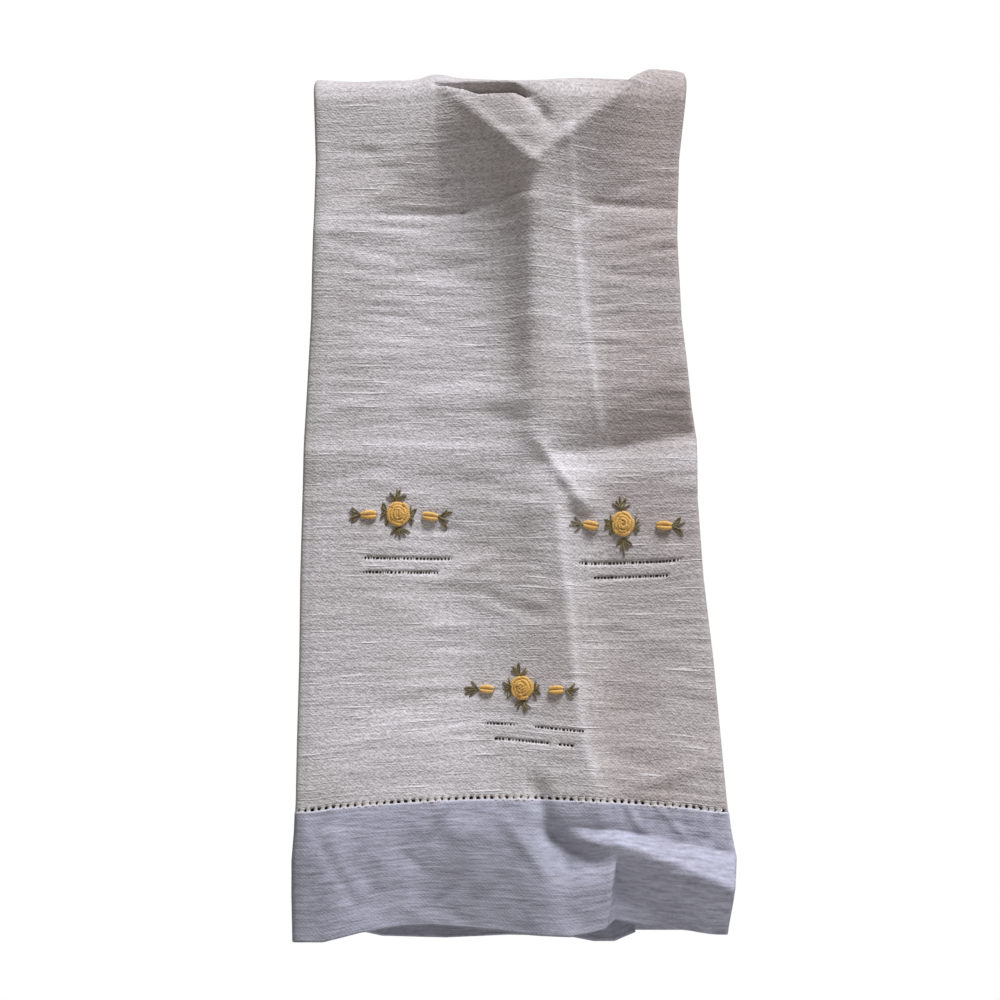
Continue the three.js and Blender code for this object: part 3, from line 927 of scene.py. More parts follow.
    def panel_out(self, x: Array, s: Array) -> Array:
        """Distance the panel stands out of its plain place.

        Args:
            x: Places across the towel.
            s: Cloth lengths down the front from the top line, negative down the back.

        Returns:
            Distances, in millimetres away from the rail.
        """
        x, s = np.broadcast_arrays(np.asarray(x, float), np.asarray(s, float))
        z = self.quarter - s
        hung = ease((s - self.slack_from) / self.slack_run)
        front = self.slack * np.clip(1 - (x / self.slack_half) ** 4, 0, 1) * hung
        front = front + self.beak.height(x, s) + self.ledge.height(x, z)
        for fold in BROAD_FOLDS:
            front = front + fold.height(x, z)
        top = sum(
            out * np.exp(-((s / self.top_reach) ** 2) - ((x - at) / half) ** 2)
            for at, out, half in self.horns
        )
        front = mix(np.maximum(self.inmost, front + top), self.tuck.floor, self.tuck.sunk(x, s))
        fine = self.fine_out(x, z) + self.pucker.height(x, z - self.hemstitch)
        front = front + fine * ease((s - self.fine_from) / self.fine_run)
        back = self.slack * self.back_slack * (1 - (x / self.back_half) ** 2) * ease(-s / self.back_run)
        mirrored = self.fine_out(-x, self.quarter + s)
        back = back + top + self.back_fine * mirrored * ease(-s / self.back_fine_run)
        return np.where(s < 0, back, front)

    def hem_share(self, s: Array) -> Array:
        """How far down the hem a row lies: 0 at the hemstitch, 1 at the front's lower edge."""
        below = self.hemstitch - self.turn(s)[1]
        return np.where(s > 0, np.clip(below / (self.hemstitch - self.bottom), 0, None), 0)

    def weft_shift(self, x: Array, s: Array) -> Array:
        """Slip of the weft where the drawn-thread lines run askew."""
        return np.where(s > 0, sum(weft.slip(x, self.quarter - s) for weft in ASKEW), 0)

    def panel_rise(self, x: Array, s: Array) -> Array:
        """Lift of the panel's rows over their level at the side edges.

        Args:
            x: Places across the towel.
            s: Cloth lengths down the front from the top line, negative down the back.

        Returns:
            Lifts, in millimetres.
        """
        level = self.turn(s)[1]
        aside = np.clip(np.abs(x - self.arch_centre) / self.arch_half, 0, 1)
        arch = self.arch_rise * (1 - aside**self.arch_power)
        begun = ease((self.arch_start - level) / (self.arch_start - self.hemstitch))
        above = arch * begun + self.weft_shift(x, s)
        edge = np.array(self.lower_edge)
        lower = np.interp(x, edge[:, 0], edge[:, 1]) - self.bottom
        share = self.hem_share(s)
        return np.where(share > 0, mix(arch, lower, share), above)

    def edge_rise(self, x: Array, s: Array) -> Array:
        """Lift of the rows at the side edges: only the hem's right corner is drawn up."""
        return np.where(x > 0, self.corner_lift, 0.0) * np.clip(self.hem_share(s), 0, 1)

    def place(self, x: Array, n: Array, s: Array, rise: Array | float) -> Array:
        """Point x across and n out from the rail line, on the row at s.

        Args:
            x: Places across the towel.
            n: Distances from the rail line, or from its plane below it.
            s: Cloth lengths down the front from the top line, negative down the back.
            rise: Lift of each point over its row.

        Returns:
            Points in millimetres.
        """
        phi, level = self.turn(s)
        lean = np.where(s > 0, self.front_lean * level / self.bottom, 0)
        x, y, z = np.broadcast_arrays(x, -n * np.sin(phi) - lean, n * np.cos(phi) + level + rise)
        return np.stack([x, y, z], -1)

    def panel_ends(self, s: Array) -> tuple[Array, Array]:
        """Where the panel's flat part begins and ends between its two side bends.

        Args:
            s: Cloth lengths down the front from the top line, negative down the back.

        Returns:
            Places across of its start on the left and its end on the right.
        """
        left, right = self.sides(s)
        left_half = (self.outer_radius + self.panel_out(left, s) - self.inner_radius) / 2
        right_half = (self.outer_radius + self.panel_out(right, s) - self.middle_radius) / 2
        return left + np.minimum(left_half, self.bend_reach), right - np.minimum(right_half, self.bend_reach)

    def third(self, s: Array) -> Array:
        """Width of each third that is folded behind the panel.

        Args:
            s: Cloth lengths down the front from the top line, negative down the back.

        Returns:
            Widths in millimetres.
        """
        start, end = self.panel_ends(s)
        behind = self.flat_width - self.bends_length - (end - start)
        return np.minimum(behind / 2, end - start - self.side_clear)

    def on_layer(self, layer: Layer, x: Array, s: Array) -> Array:
        """Points of a layer's middle surface.

        Args:
            layer: Which thickness of the fold.
            x: Places across the towel.
            s: Cloth lengths down the front from the top line, negative down the back.

        Returns:
            Points in millimetres, one for each pair of x and s.
        """
        x, s = np.broadcast_arrays(np.asarray(x, float), np.asarray(s, float))
        if layer is Layer.PANEL:
            left, right = self.sides(s)
            share = (x - left) / (right - left)
            fade = np.clip(share * self.edge_fade, 0, 1) * np.clip((1 - share) * self.edge_fade, 0, 1)
            rise = mix(self.edge_rise(x, s), self.panel_rise(x, s), fade)
            return self.place(x, self.outer_radius + self.panel_out(x, s), s, rise)
        inner = layer is Layer.INNER
        edge = np.array(self.inner_edge if inner else self.middle_edge)
        rise = self.hem_share(s) * (np.interp(x, edge[:, 0], edge[:, 1]) - self.bottom)
        return self.place(x, self.inner_radius if inner else self.middle_radius, s, rise)

    def off_layer(self, layer: Layer, x: Array, s: Array, height: Array) -> Array:
        """Points a height off a layer's outer face, for stitches that lie on it.

        Args:
            layer: Which thickness of the fold.
            x: Places across the towel.
            s: Cloth lengths down the front from the top line, negative down the back.
            height: Heights off the face.

        Returns:
            Points in millimetres.
        """
        step = 0.6
        across = self.on_layer(layer, x + step, s) - self.on_layer(layer, x - step, s)
        down = self.on_layer(layer, x, s + step) - self.on_layer(layer, x, s - step)
        normal = np.cross(down, across)
        normal /= np.linalg.norm(normal, axis=-1, keepdims=True)
        return self.on_layer(layer, x, s) + normal * np.asarray(height)[..., None]


@dataclass(frozen=True)
class SectionColumns:
    """Columns of the cloth's grid across one back-and-forth section."""

    panel: int = 112
    inner: int = 16
    middle: int = 6
    bend: int = 6
    bend_length: float = 1.5

    def grid(self, drape: Drape, s: Array) -> tuple[Array, Array]:
        """Lay every row of the section.

        Args:
            drape: The cloth's hung form.
            s: Row places along the cloth.

        Returns:
            Points by row and column, and each point's flat place across the cloth.
        """
        rows = s[:, None]
        start, end = drape.panel_ends(rows)
        side = drape.third(rows)
        inner_x = start + side * np.linspace(1, 0, self.inner + 1)
        panel_x = mix(start, end, np.linspace(0, 1, self.panel + 1))
        middle_x = end - side * np.linspace(0, 1, self.middle + 1)
        left, right = drape.sides(rows)
        left_out = drape.outer_radius + drape.panel_out(left, rows)
        right_out = drape.outer_radius + drape.panel_out(right, rows)
        left_bend = self.half_turn(drape, left, -1, drape.inner_radius, left_out, rows)
        right_bend = self.half_turn(drape, right, 1, right_out, drape.middle_radius, rows)
        points = [
            drape.on_layer(Layer.INNER, inner_x, rows),
            left_bend,
            drape.on_layer(Layer.PANEL, panel_x, rows),
            right_bend,
            drape.on_layer(Layer.MIDDLE, middle_x, rows),
        ]
        run = np.linspace(0, 1, self.bend + 1)[1:-1]
        left_run = (left_out - drape.inner_radius) * self.bend_length
        right_run = (right_out - drape.middle_radius) * self.bend_length
        flat = [
            2 * start - left_run - inner_x,
            start - left_run * (1 - run),
            panel_x,
            end + right_run * run,
            2 * end + right_run - middle_x,
        ]
        return np.concatenate(points, 1), np.concatenate(flat, 1)

    def on_bend(self, column: Array) -> Array:
        """Whether cells centred at these columns lie on a side bend."""
        first, last = self.inner + self.bend, self.inner + self.bend + self.panel
        return ((column > self.inner) & (column < first)) | ((column > last) & (column < last + self.bend))

    def half_turn(self, drape: Drape, edge: Array, side: int, start: Any, end: Any, rows: Array) -> Array:
        """Points of the half turn of cloth at a side edge, from one layer to the next.

        Args:
            drape: The cloth's hung form.
            edge: Place across of the side edge on each row.
            side: Minus one for the left edge and one for the right.
            start: Distance out of the layer that it leaves.
            end: Distance out of the layer that it joins.
            rows: Row places along the cloth.

        Returns:
            Points by row and column.
        """
        turn = np.linspace(-math.pi / 2, math.pi / 2, self.bend + 1)[1:-1]
        reach = np.minimum(np.abs(end - start) / 2, drape.bend_reach)
        n = (start + end) / 2 + np.sin(turn) * (end - start) / 2
        return drape.place(edge + side * reach * (np.cos(turn) - 1), n, rows, drape.edge_rise(edge, rows))


@dataclass(frozen=True)
class DrawnLine:
    """A line of weft threads drawn out under a motif, as runs of open work."""

    level: float
    runs: tuple[tuple[float, float], ...]
    tall: float = 1.0

    @property
    def rows(self) -> tuple[float, float]:
        """Upper and lower edge of the open work."""
        return self.level + self.tall / 2, self.level - self.tall / 2

    def opens(self, x: Array, z: Array) -> Array:
        """Whether cells centred at (x, z) are drawn out.

        Args:
            x: Places across the flat cloth.
            z: Levels.

        Returns:
            True for the cells to take away.
        """
        across = np.zeros_like(x, bool)
        for start, end in self.runs:
            across |= (x > start) & (x < end)
        return across & (np.abs(z - self.level) < self.tall / 2)


DRAWN_LINES = (
    DrawnLine(-174.0, ((-50.6, -17.6), (28.8, 67.8))),
    DrawnLine(-179.2, ((-50.0, -22.8), (34.5, 62.7))),
    DrawnLine(-239.6, ((-5.9, 5.8), (12.2, 31.0))),
    DrawnLine(-245.5, ((-2.2, 18.6), (21.2, 27.2))),
)


def deselect() -> None:
    """Leave edit mode and select nothing."""
    if bpy.context.mode != "OBJECT":
        bpy.ops.object.mode_set(mode="OBJECT")
    bpy.ops.object.select_all(action="DESELECT")


def apply_modifier(piece: bpy.types.Object, kind: str, **settings: Any) -> None:
    """Add a modifier with its settings and apply it.

    Args:
        piece: Object that gets it.
        kind: Blender's modifier type name.
        settings: Properties set on it.
    """
    bpy.context.view_layer.objects.active = piece
    bpy.ops.object.modifier_add(type=kind)
    modifier = piece.modifiers[-1]
    for name, value in settings.items():
        setattr(modifier, name, value)
    bpy.ops.object.modifier_apply(modifier=modifier.name)


@dataclass(frozen=True)
class WearAndPaintedLight:
    """Marks on the front: creases lightened by use, a grey strip along the old edge and a yellow tone, with
    painted light and shade: highlights on the creases and the hem's turned edge, shade on the hem's middle,
    and shade in the yellow tone on the right and towards the top.
    """

    reach: float = 90.0
    # Painted highlight along the hem's turned edge, and the half height of its band
    edge_highlight: float = 0.5
    edge_highlight_half: float = 0.1
    strip: float = 0.5
    strip_half: float = 3.8
    strip_run: float = 40.0
    # Painted shade on the middle of the hem, darker towards its bottom: strength, centre, half width and run
    # down
    dull: float = 0.46
    dull_x: float = -6.0
    dull_half: float = 30.0
    dull_run: float = 24.0
    # Yellow tone, partly real and partly painted shade: its strength on the left and the right, less towards
    # the bottom and on the lower left, and less in a painted lit band under the right valley
    plain_side: float = 0.25
    used_and_shaded_side: float = 0.55
    used_and_shaded_x: float = 28.0
    used_and_shaded_run: float = 16.0
    lower: float = 0.9
    lower_z: float = -190.0
    lower_run: float = 90.0
    left: float = 0.4
    left_z: float = -40.0
    left_x: float = -10.0
    left_run: float = 40.0
    valley: float = 0.8
    valley_z: float = -138.0
    valley_half: float = 8.0

    def marks(self, drape: Drape, x: Array, s: Array, turned: float) -> dict[str, Array]:
        """Strength of each mark of use, and of the painted light and shade, over the cloth.

        Args:
            drape: The cloth's hung form.
            x: Places across the flat cloth.
            s: Cloth lengths down the front from the top line.
            turned: Level of the hem's turned edge.

        Returns:
            A value for each place, by the name of its mesh attribute.
        """
        z = drape.quarter - s
        in_hem = z < drape.hemstitch
        # Creases lighter, partly from use and partly a painted highlight on their crests
        pressed_and_highlight = sum(crease.rubbed_and_lit * crease.closeness(x, z) for crease in PRESSED)
        # Painted highlight along the hem's turned edge
        pressed_and_highlight = pressed_and_highlight + self.edge_highlight * (np.abs(z - turned) < self.edge_highlight_half)
        inwards = x - drape.sides(s)[0]
        greyed_and_shade = self.strip * np.exp(-((inwards / self.strip_half) ** 4)) * ease(s / self.strip_run)
        # Painted shade on the middle of the hem, darker towards its bottom
        dull = self.dull * np.exp(-(((x - self.dull_x) / self.dull_half) ** 2))
        greyed_and_shade = greyed_and_shade + np.where(in_hem, dull * ease((drape.hemstitch - z) / self.dull_run), 0)
        # Yellow tone, partly real and partly painted shade: stronger on the right and towards the top, weaker
        # on the lower left, and weaker in a painted lit band under the right valley
        yellowed_and_shade = mix(self.plain_side, self.used_and_shaded_side, ease((x - self.used_and_shaded_x) / self.used_and_shaded_run))
        yellowed_and_shade = yellowed_and_shade * mix(self.lower, 1.0, ease((z - self.lower_z) / self.lower_run))
        lit_lower_left = mix(self.left, 1.0, ease((x - self.left_x) / self.left_run))
        yellowed_and_shade = np.where(z < self.left_z, yellowed_and_shade * lit_lower_left, yellowed_and_shade)
        yellowed_and_shade = yellowed_and_shade * (1 - self.valley * np.exp(-(((z - self.valley_z) / self.valley_half) ** 2)))
        yellowed_and_shade = np.where(in_hem, 0, yellowed_and_shade)
        front = (s > 0) & (np.abs(x) < self.reach)
        marks = {"pressed_and_highlight": pressed_and_highlight, "greyed_and_shade": greyed_and_shade, "yellowed_and_shade": yellowed_and_shade}
        return {name: np.where(front, mark, 0) for name, mark in marks.items()}


@dataclass
class Cloth:
    """A thin sheet on the drape: a grid laid by formula, opened and given its thickness."""

    drape: Drape
    columns: SectionColumns = SectionColumns()
    hem_columns: SectionColumns = SectionColumns(panel=224)
    body_sheet: float = 0.55
    hem_sheet: float = 0.95
    row_step: float = 1.1
    arc_rows: int = 26
    arc_clear: float = 0.5
    back_step: float = 6.0
    hem_front: int = 56
    hem_back: int = 12
    stitch_half: float = 0.52
    wear_and_light: WearAndPaintedLight = WearAndPaintedLight()

    def front_levels(self) -> Array:
        """Row levels of the front, from the hemstitch up, with a row on each edge of the drawn lines.

        Returns:
            Levels, from low to high.
        """
        cuts = np.array(sorted(z for line in DRAWN_LINES for z in line.rows))
        low = self.drape.hemstitch + self.stitch_half
        plain = np.linspace(low, 0, int(-low / self.row_step) + 1)
        kept = [z for z in plain if np.abs(cuts - z).min() > self.row_step / 2]
        return np.array(sorted([*kept, *cuts]))

    def body_rows(self) -> Array:
        """Rows of the body from hem to hem over the top, its first and last cells the hemstitch gaps.

        Returns:
            Cloth lengths from the top line, the front's first.
        """
        quarter = self.drape.quarter
        end = quarter - self.drape.hemstitch + self.stitch_half
        front = quarter - self.front_levels()
        fine = self.drape.tuck.rows()
        plain = np.linspace(quarter, -quarter, self.arc_rows + 1)[1:]
        clear = (plain > fine[0] + self.arc_clear) | (plain < fine[-1] - self.arc_clear)
        arc = np.array(sorted([*fine, *plain[clear]], reverse=True))
        low = self.drape.hemstitch + self.stitch_half
        back = -quarter - np.linspace(0, -low, int(-low / self.back_step) + 1)[1:]
        return np.concatenate([[end], front, arc, back, [-end]])

    def hem_rows(self) -> tuple[Array, Array]:
        """Rows of the front hem and of the back hem.

        Returns:
            Cloth lengths from the top line, for each hem.
        """
        quarter, top = self.drape.quarter, self.drape.hemstitch - self.stitch_half
        front = quarter - np.linspace(self.drape.bottom, top, self.hem_front)
        back = -quarter + np.linspace(top, self.drape.back_bottom, self.hem_back)
        return front, back

    def sheet(
        self,
        name: str,
        s: Array,
        columns: SectionColumns,
        thick: float,
        opened: bool = False,
    ) -> bpy.types.Object:
        """Lay one sheet of cloth.

        Args:
            name: Piece name.
            s: Its rows.
            columns: Its columns.
            thick: Cloth thickness.
            opened: Whether the drawn-thread lines and the hemstitch gaps are cut through it.

        Returns:
            The finished mesh object, with its flat UV map.
        """
        points, flat = columns.grid(self.drape, s)
        rows, across = flat.shape
        deselect()
        bpy.ops.mesh.primitive_grid_add(x_subdivisions=across - 1, y_subdivisions=rows - 1, size=2.0)
        piece = bpy.context.active_object
        piece.name = piece.data.name = name
        mesh = piece.data
        plain = np.empty(len(mesh.vertices) * 3)
        mesh.vertices.foreach_get("co", plain)
        plain = plain.reshape(-1, 3)
        column = np.rint((plain[:, 0] + 1) / 2 * (across - 1)).astype(int)
        row = np.rint((plain[:, 1] + 1) / 2 * (rows - 1)).astype(int)
        mesh.vertices.foreach_set("co", (points[row, column] * MM).ravel())
        place = np.stack([flat[row, column], -s[row]], -1)
        corners = np.empty(len(mesh.loops), int)
        mesh.loops.foreach_get("vertex_index", corners)
        for layer in list(mesh.uv_layers):
            mesh.uv_layers.remove(layer)
        laid = place.copy()
        laid[:, 1] -= self.drape.tuck.gathered(place[:, 0], -place[:, 1])
        mesh.uv_layers.new(name="flat").data.foreach_set("uv", (laid[corners] * MM).ravel())
        turned = self.drape.hemstitch - self.stitch_half
        # Marks of use, and painted light and shade, as attributes of the points
        for mark, value in self.wear_and_light.marks(self.drape, place[:, 0], s[row], turned).items():
            mesh.attributes.new(mark, "FLOAT", "POINT").data.foreach_set("value", value)
        if opened:
            # Four corners to a cell: each corner's place across, level, column and row
            corner = np.stack([place[:, 0], self.drape.quarter + place[:, 1], column, row], -1)[corners]
            self.open_lines(piece, *corner.reshape(-1, 4, 4).mean(1).T)
        mesh.update()
        faces = len(mesh.polygons)
        apply_modifier(piece, "SOLIDIFY", thickness=thick * MM, offset=0.0, use_even_offset=False)
        # The cut edges follow the two faces of the cloth in the mesh and stay crisp
        mesh.polygons.foreach_set("use_smooth", np.arange(len(mesh.polygons)) < 2 * faces)
        return piece

    def open_lines(self, piece: bpy.types.Object, x: Array, z: Array, column: Array, row: Array) -> None:
        """Take the drawn-out cells of the cloth away.

        Args:
            piece: The sheet.
            x: Each cell's place across the flat cloth.
            z: Its level.
            column: Its place among the grid's columns.
            row: Its place among the grid's rows.
        """
        opened = ((row < 1) | (row > row.max() - 1)) & ~self.columns.on_bend(column)
        for line in DRAWN_LINES:
            opened |= line.opens(x, z)
        bpy.ops.object.mode_set(mode="EDIT")
        bpy.ops.mesh.select_mode(type="FACE")
        bpy.ops.mesh.select_all(action="DESELECT")
        bpy.ops.object.mode_set(mode="OBJECT")
        piece.data.polygons.foreach_set("select", opened)
        bpy.ops.object.mode_set(mode="EDIT")
        bpy.ops.mesh.delete(type="FACE")
        bpy.ops.object.mode_set(mode="OBJECT")

    def build_body(self) -> bpy.types.Object:
        """Make the body of the towel, from hemstitch to hemstitch.

        Returns:
            The piece, in its linen.
        """
        piece = self.sheet("towel_body", self.body_rows(), self.columns, self.body_sheet, opened=True)
        piece.data.materials.append(BODY_LINEN.material())
        return piece

    def build_hem(self) -> bpy.types.Object:
        """Make the deep hems of both ends as one piece.

        Returns:
            The piece, in its linen.
        """
        front, back = (
            self.sheet(f"hem_{k}", s, self.hem_columns, self.hem_sheet)
            for k, s in enumerate(self.hem_rows())
        )
        deselect()
        back.select_set(True)
        front.select_set(True)
        bpy.context.view_layer.objects.active = front
        bpy.ops.object.join()
        front.name = front.data.name = "towel_hem"
        front.data.materials.append(HEM_LINEN.material())
        return front


class Stitch:
    """One stitch modelled straight, to be copied and bent along many lines.

    Attributes:
        along: Share of the length at each point.
        section: Place of each point across and above the stitch's middle line, for a girth of one.
        faces: Corner lists of its faces.
        crown_and_groove_shade: Painted shade, one on the crown of the thread and nothing in the grooves.
        side_light: Painted light on the thread's side, against one on its top.
        top_light: How much lighter it is painted towards its top.
    """

    side_light: float = 0.75
    top_light: float = 0.45

    def __init__(self, piece: bpy.types.Object, ridge_from: float) -> None:
        """Read the modelled stitch, which stands along Z, and clear it away.

        Args:
            piece: The modelled stitch.
            ridge_from: Distance from its middle line at which the thread's grooves lie.
        """
        points = np.array([v.co for v in piece.data.vertices])
        low, high = points[:, 2].min(), points[:, 2].max()
        self.along = (points[:, 2] - low) / (high - low)
        out = np.hypot(points[:, 0], points[:, 1])
        self.section = points[:, :2] / out.max()
        # Painted light and shade: lighter on the thread's top and crown, darker underneath and in the grooves
        crown = np.clip(self.side_light + self.top_light * self.section[:, 1], 0, 1)
        self.crown_and_groove_shade = np.clip((out / out.max() - ridge_from) / (1 - ridge_from), 0, 1) * crown
        self.faces = [tuple(p.vertices) for p in piece.data.polygons]
        mesh = piece.data
        bpy.data.objects.remove(piece)
        bpy.data.meshes.remove(mesh)

    @classmethod
    def bullion(cls, turns: int = 11, wrap: float = 0.2, core: float = 0.42, pitch: float = 1.7) -> "Stitch":
        """Model a bullion stitch: thread wound round and round, a closed coil.

        Args:
            turns: Wraps of thread; drawn coarser than real so that they show.
            wrap: Radius of the thread.
            core: Radius that it is wound on.
            pitch: Step from turn to turn, in radii of the thread.

        Returns:
            The stitch.
        """
        deselect()
        bpy.ops.mesh.primitive_circle_add(
            vertices=6,
            radius=wrap,
            location=(core, 0, 0),
            rotation=(math.pi / 2, 0, 0),
        )
        piece = bpy.context.active_object
        bpy.ops.object.transform_apply(location=True, rotation=True, scale=True)
        apply_modifier(
            piece,
            "SCREW",
            axis="Z",
            angle=2 * math.pi,
            screw_offset=pitch * wrap,
            iterations=turns,
            steps=10,
            render_steps=10,
        )
        cls.close(piece)
        return cls(piece, ridge_from=0.72)

    @classmethod
    def strand(cls, rings: int = 18, sides: int = 6) -> "Stitch":
        """Model one plain strand of thread, a closed tube.

        Args:
            rings: Segments along it.
            sides: Flats round it.

        Returns:
            The stitch.
        """
        deselect()
        bpy.ops.mesh.primitive_circle_add(vertices=sides, radius=1.0)
        piece = bpy.context.active_object
        bpy.ops.object.mode_set(mode="EDIT")
        for _ in range(rings):
            bpy.ops.mesh.extrude_region_move(TRANSFORM_OT_translate={"value": (0, 0, 1)})
        bpy.ops.object.mode_set(mode="OBJECT")
        cls.close(piece)
        return cls(piece, ridge_from=0.0)

    @staticmethod
    def close(piece: bpy.types.Object) -> None:
        """Close a tube's open ends and turn its faces outwards.

        Args:
            piece: The tube.
        """
        bpy.context.view_layer.objects.active = piece
        bpy.ops.object.mode_set(mode="EDIT")
        bpy.ops.mesh.select_mode(type="EDGE")
        bpy.ops.mesh.select_all(action="SELECT")
        bpy.ops.mesh.remove_doubles(threshold=1e-5)
        bpy.ops.mesh.select_all(action="DESELECT")
        bpy.ops.mesh.select_non_manifold()
        bpy.ops.mesh.fill_holes(sides=0)
        bpy.ops.mesh.select_all(action="SELECT")
        bpy.ops.mesh.normals_make_consistent(inside=False)
        bpy.ops.object.mode_set(mode="OBJECT")

    def laid(self, line: Array, girth: Array, rise: float = 1.0) -> Array:
        """Bend the stitch along a line.

        Args:
            line: Points (across, up, off the cloth) along the stitch's middle.
            girth: Radius at each of them.
            rise: Height of its section against its width.

        Returns:
            The stitch's points in the same three directions.
        """
        steps = np.linspace(0, 1, len(line))
        tangent = np.gradient(line[:, :2], axis=0)
        tangent /= np.linalg.norm(tangent, axis=1, keepdims=True) + 1e-9
        at = np.stack([np.interp(self.along, steps, line[:, k]) for k in range(3)], -1)
        side = np.stack([np.interp(self.along, steps, tangent[:, k]) for k in range(2)], -1)
        side /= np.linalg.norm(side, axis=1, keepdims=True) + 1e-9
        radius = np.interp(self.along, steps, girth)
        at[:, 0] += -side[:, 1] * self.section[:, 0] * radius
        at[:, 1] += side[:, 0] * self.section[:, 0] * radius
        at[:, 2] += self.section[:, 1] * radius * rise
        return at


@dataclass
class StitchWork:
    """Stitches of one thread gathered into one piece on the cloth."""

    drape: Drape
    face: float = 0.28
    stitches: list[Stitch] = field(default_factory=list)
    places: list[Array] = field(default_factory=list)
    layers: list[Layer] = field(default_factory=list)
    tones: list[float] = field(default_factory=list)

    def add(
        self,
        stitch: Stitch,
        laid: Array,
        at: tuple[float, float],
        tone: float = 0.0,
        layer: Layer = Layer.PANEL,
        back: bool = False,
    ) -> None:
        """Sew one bent stitch onto the cloth.

        Args:
            stitch: The stitch it is a copy of.
            laid: Its points (across, up, off the cloth) about a place on the cloth.
            at: That place, across and level.
            tone: How faded its thread is.
            layer: The layer it is sewn to.
            back: Whether it is on the back's drop.
        """
        x, z = at[0] + laid[:, 0], at[1] + laid[:, 1]
        s = z - self.drape.quarter if back else self.drape.quarter - z
        self.stitches.append(stitch)
        self.places.append(np.stack([x, s, laid[:, 2] + self.face], -1))
        self.layers.append(layer)
        self.tones.append(tone)

    def points(self) -> Array:
        """Every stitch's points on the hung cloth.

        Returns:
            Points in millimetres, in the order that the stitches were sewn.
        """
        sizes = [len(place) for place in self.places]
        place = np.concatenate(self.places)
        made = np.empty_like(place)
        for layer in Layer:
            own = np.repeat([one is layer for one in self.layers], sizes)
            made[own] = self.drape.off_layer(layer, *place[own].T)
        return made

    def build(self, name: str, finish: StrandedFloss) -> bpy.types.Object:
        """Join the stitches into one mesh object.

        Args:
            name: Piece name.
            finish: Its thread.

        Returns:
            The piece.
        """
        faces, count = [], 0
        for stitch in self.stitches:
            faces += [tuple(k + count for k in face) for face in stitch.faces]
            count += len(stitch.along)
        mesh = bpy.data.meshes.new(name)
        mesh.from_pydata((self.points() * MM).tolist(), [], faces)
        # Painted shade of each stitch, dark in the grooves and under the thread
        crown_and_groove_shade = np.concatenate([stitch.crown_and_groove_shade for stitch in self.stitches])
        tone = np.repeat(self.tones, [len(place) for place in self.places])
        mesh.attributes.new("crown_and_groove_shade", "FLOAT", "POINT").data.foreach_set("value", crown_and_groove_shade)
        mesh.attributes.new("tone", "FLOAT", "POINT").data.foreach_set("value", tone)
        mesh.polygons.foreach_set("use_smooth", [True] * len(mesh.polygons))
        mesh.materials.append(finish.material())
        mesh.update()
        piece = bpy.data.objects.new(name, mesh)
        bpy.context.scene.collection.objects.link(piece)
        return piece


# Places along a bundle of thread, from its lower end to its upper
BUNDLE = np.linspace(-1, 1, 9)


@dataclass(frozen=True)
class Hemstitching:
    """The open row over the hem: bundles of warp thread drawn tight between holes."""

    pitch: float = 2.62
    waist: float = 0.84
    foot: float = 1.2
    flare: float = 1.4
    flat: float = 0.4
    reach: float = 1.0
    thin: float = 0.92
    thick: float = 1.32
    wander: float = 0.23
    wander_from: float = 0.4
    uneven: float = 0.12
    hemming_girth: float = 0.12
    hemming_tone: float = 0.4
    seed: int = 11

    def build(self, drape: Drape, strand: Stitch) -> bpy.types.Object:
        """Sew the bundles across every layer, at both ends of the towel.

        Args:
            drape: The cloth's hung form.
            strand: A plain strand.

        Returns:
            The piece of bundles and small hemming stitches.
        """
        work = StitchWork(drape, face=0.0)
        rng = np.random.default_rng(self.seed)
        # A small slanted hemming stitch beside each bundle, over the hem's turned edge
        slant = np.stack([1.1 + 0.25 * BUNDLE, -1.3 + 0.75 * BUNDLE, 0.5 + 0.1 * (1 - BUNDLE**2)], -1)
        hemming = strand.laid(slant, np.full(len(BUNDLE), self.hemming_girth))
        for back in (False, True):
            s = np.array(drape.quarter - drape.hemstitch) * (-1 if back else 1)
            start, end = (float(v) for v in drape.panel_ends(s))
            third = float(drape.third(s))
            for layer, low, high in (
                (Layer.PANEL, start, end),
                (Layer.INNER, start, start + third),
                (Layer.MIDDLE, end - third, end),
            ):
                for x in np.arange(low + self.pitch / 2, high, self.pitch):
                    wave = 0.5 + 0.5 * math.sin(self.wander * x + self.wander_from)
                    girth = mix(self.waist, self.foot, np.abs(BUNDLE) ** self.flare)
                    girth = girth * mix(self.thin, self.thick, ease(wave)) * rng.uniform(0.85, 1.15)
                    lean = BUNDLE * rng.normal(0, self.uneven)
                    line = np.stack([lean, BUNDLE * self.reach, 0 * BUNDLE], -1)
                    at = (x + rng.normal(0, self.uneven), drape.hemstitch)
                    work.add(strand, strand.laid(line, girth, self.flat), at, 0.0, layer, back)
                    if layer is Layer.PANEL:
                        at = (x, drape.hemstitch)
                        work.add(strand, hemming, at, self.hemming_tone, layer, back)
        return work.build("hemstitching", LINEN_THREAD)


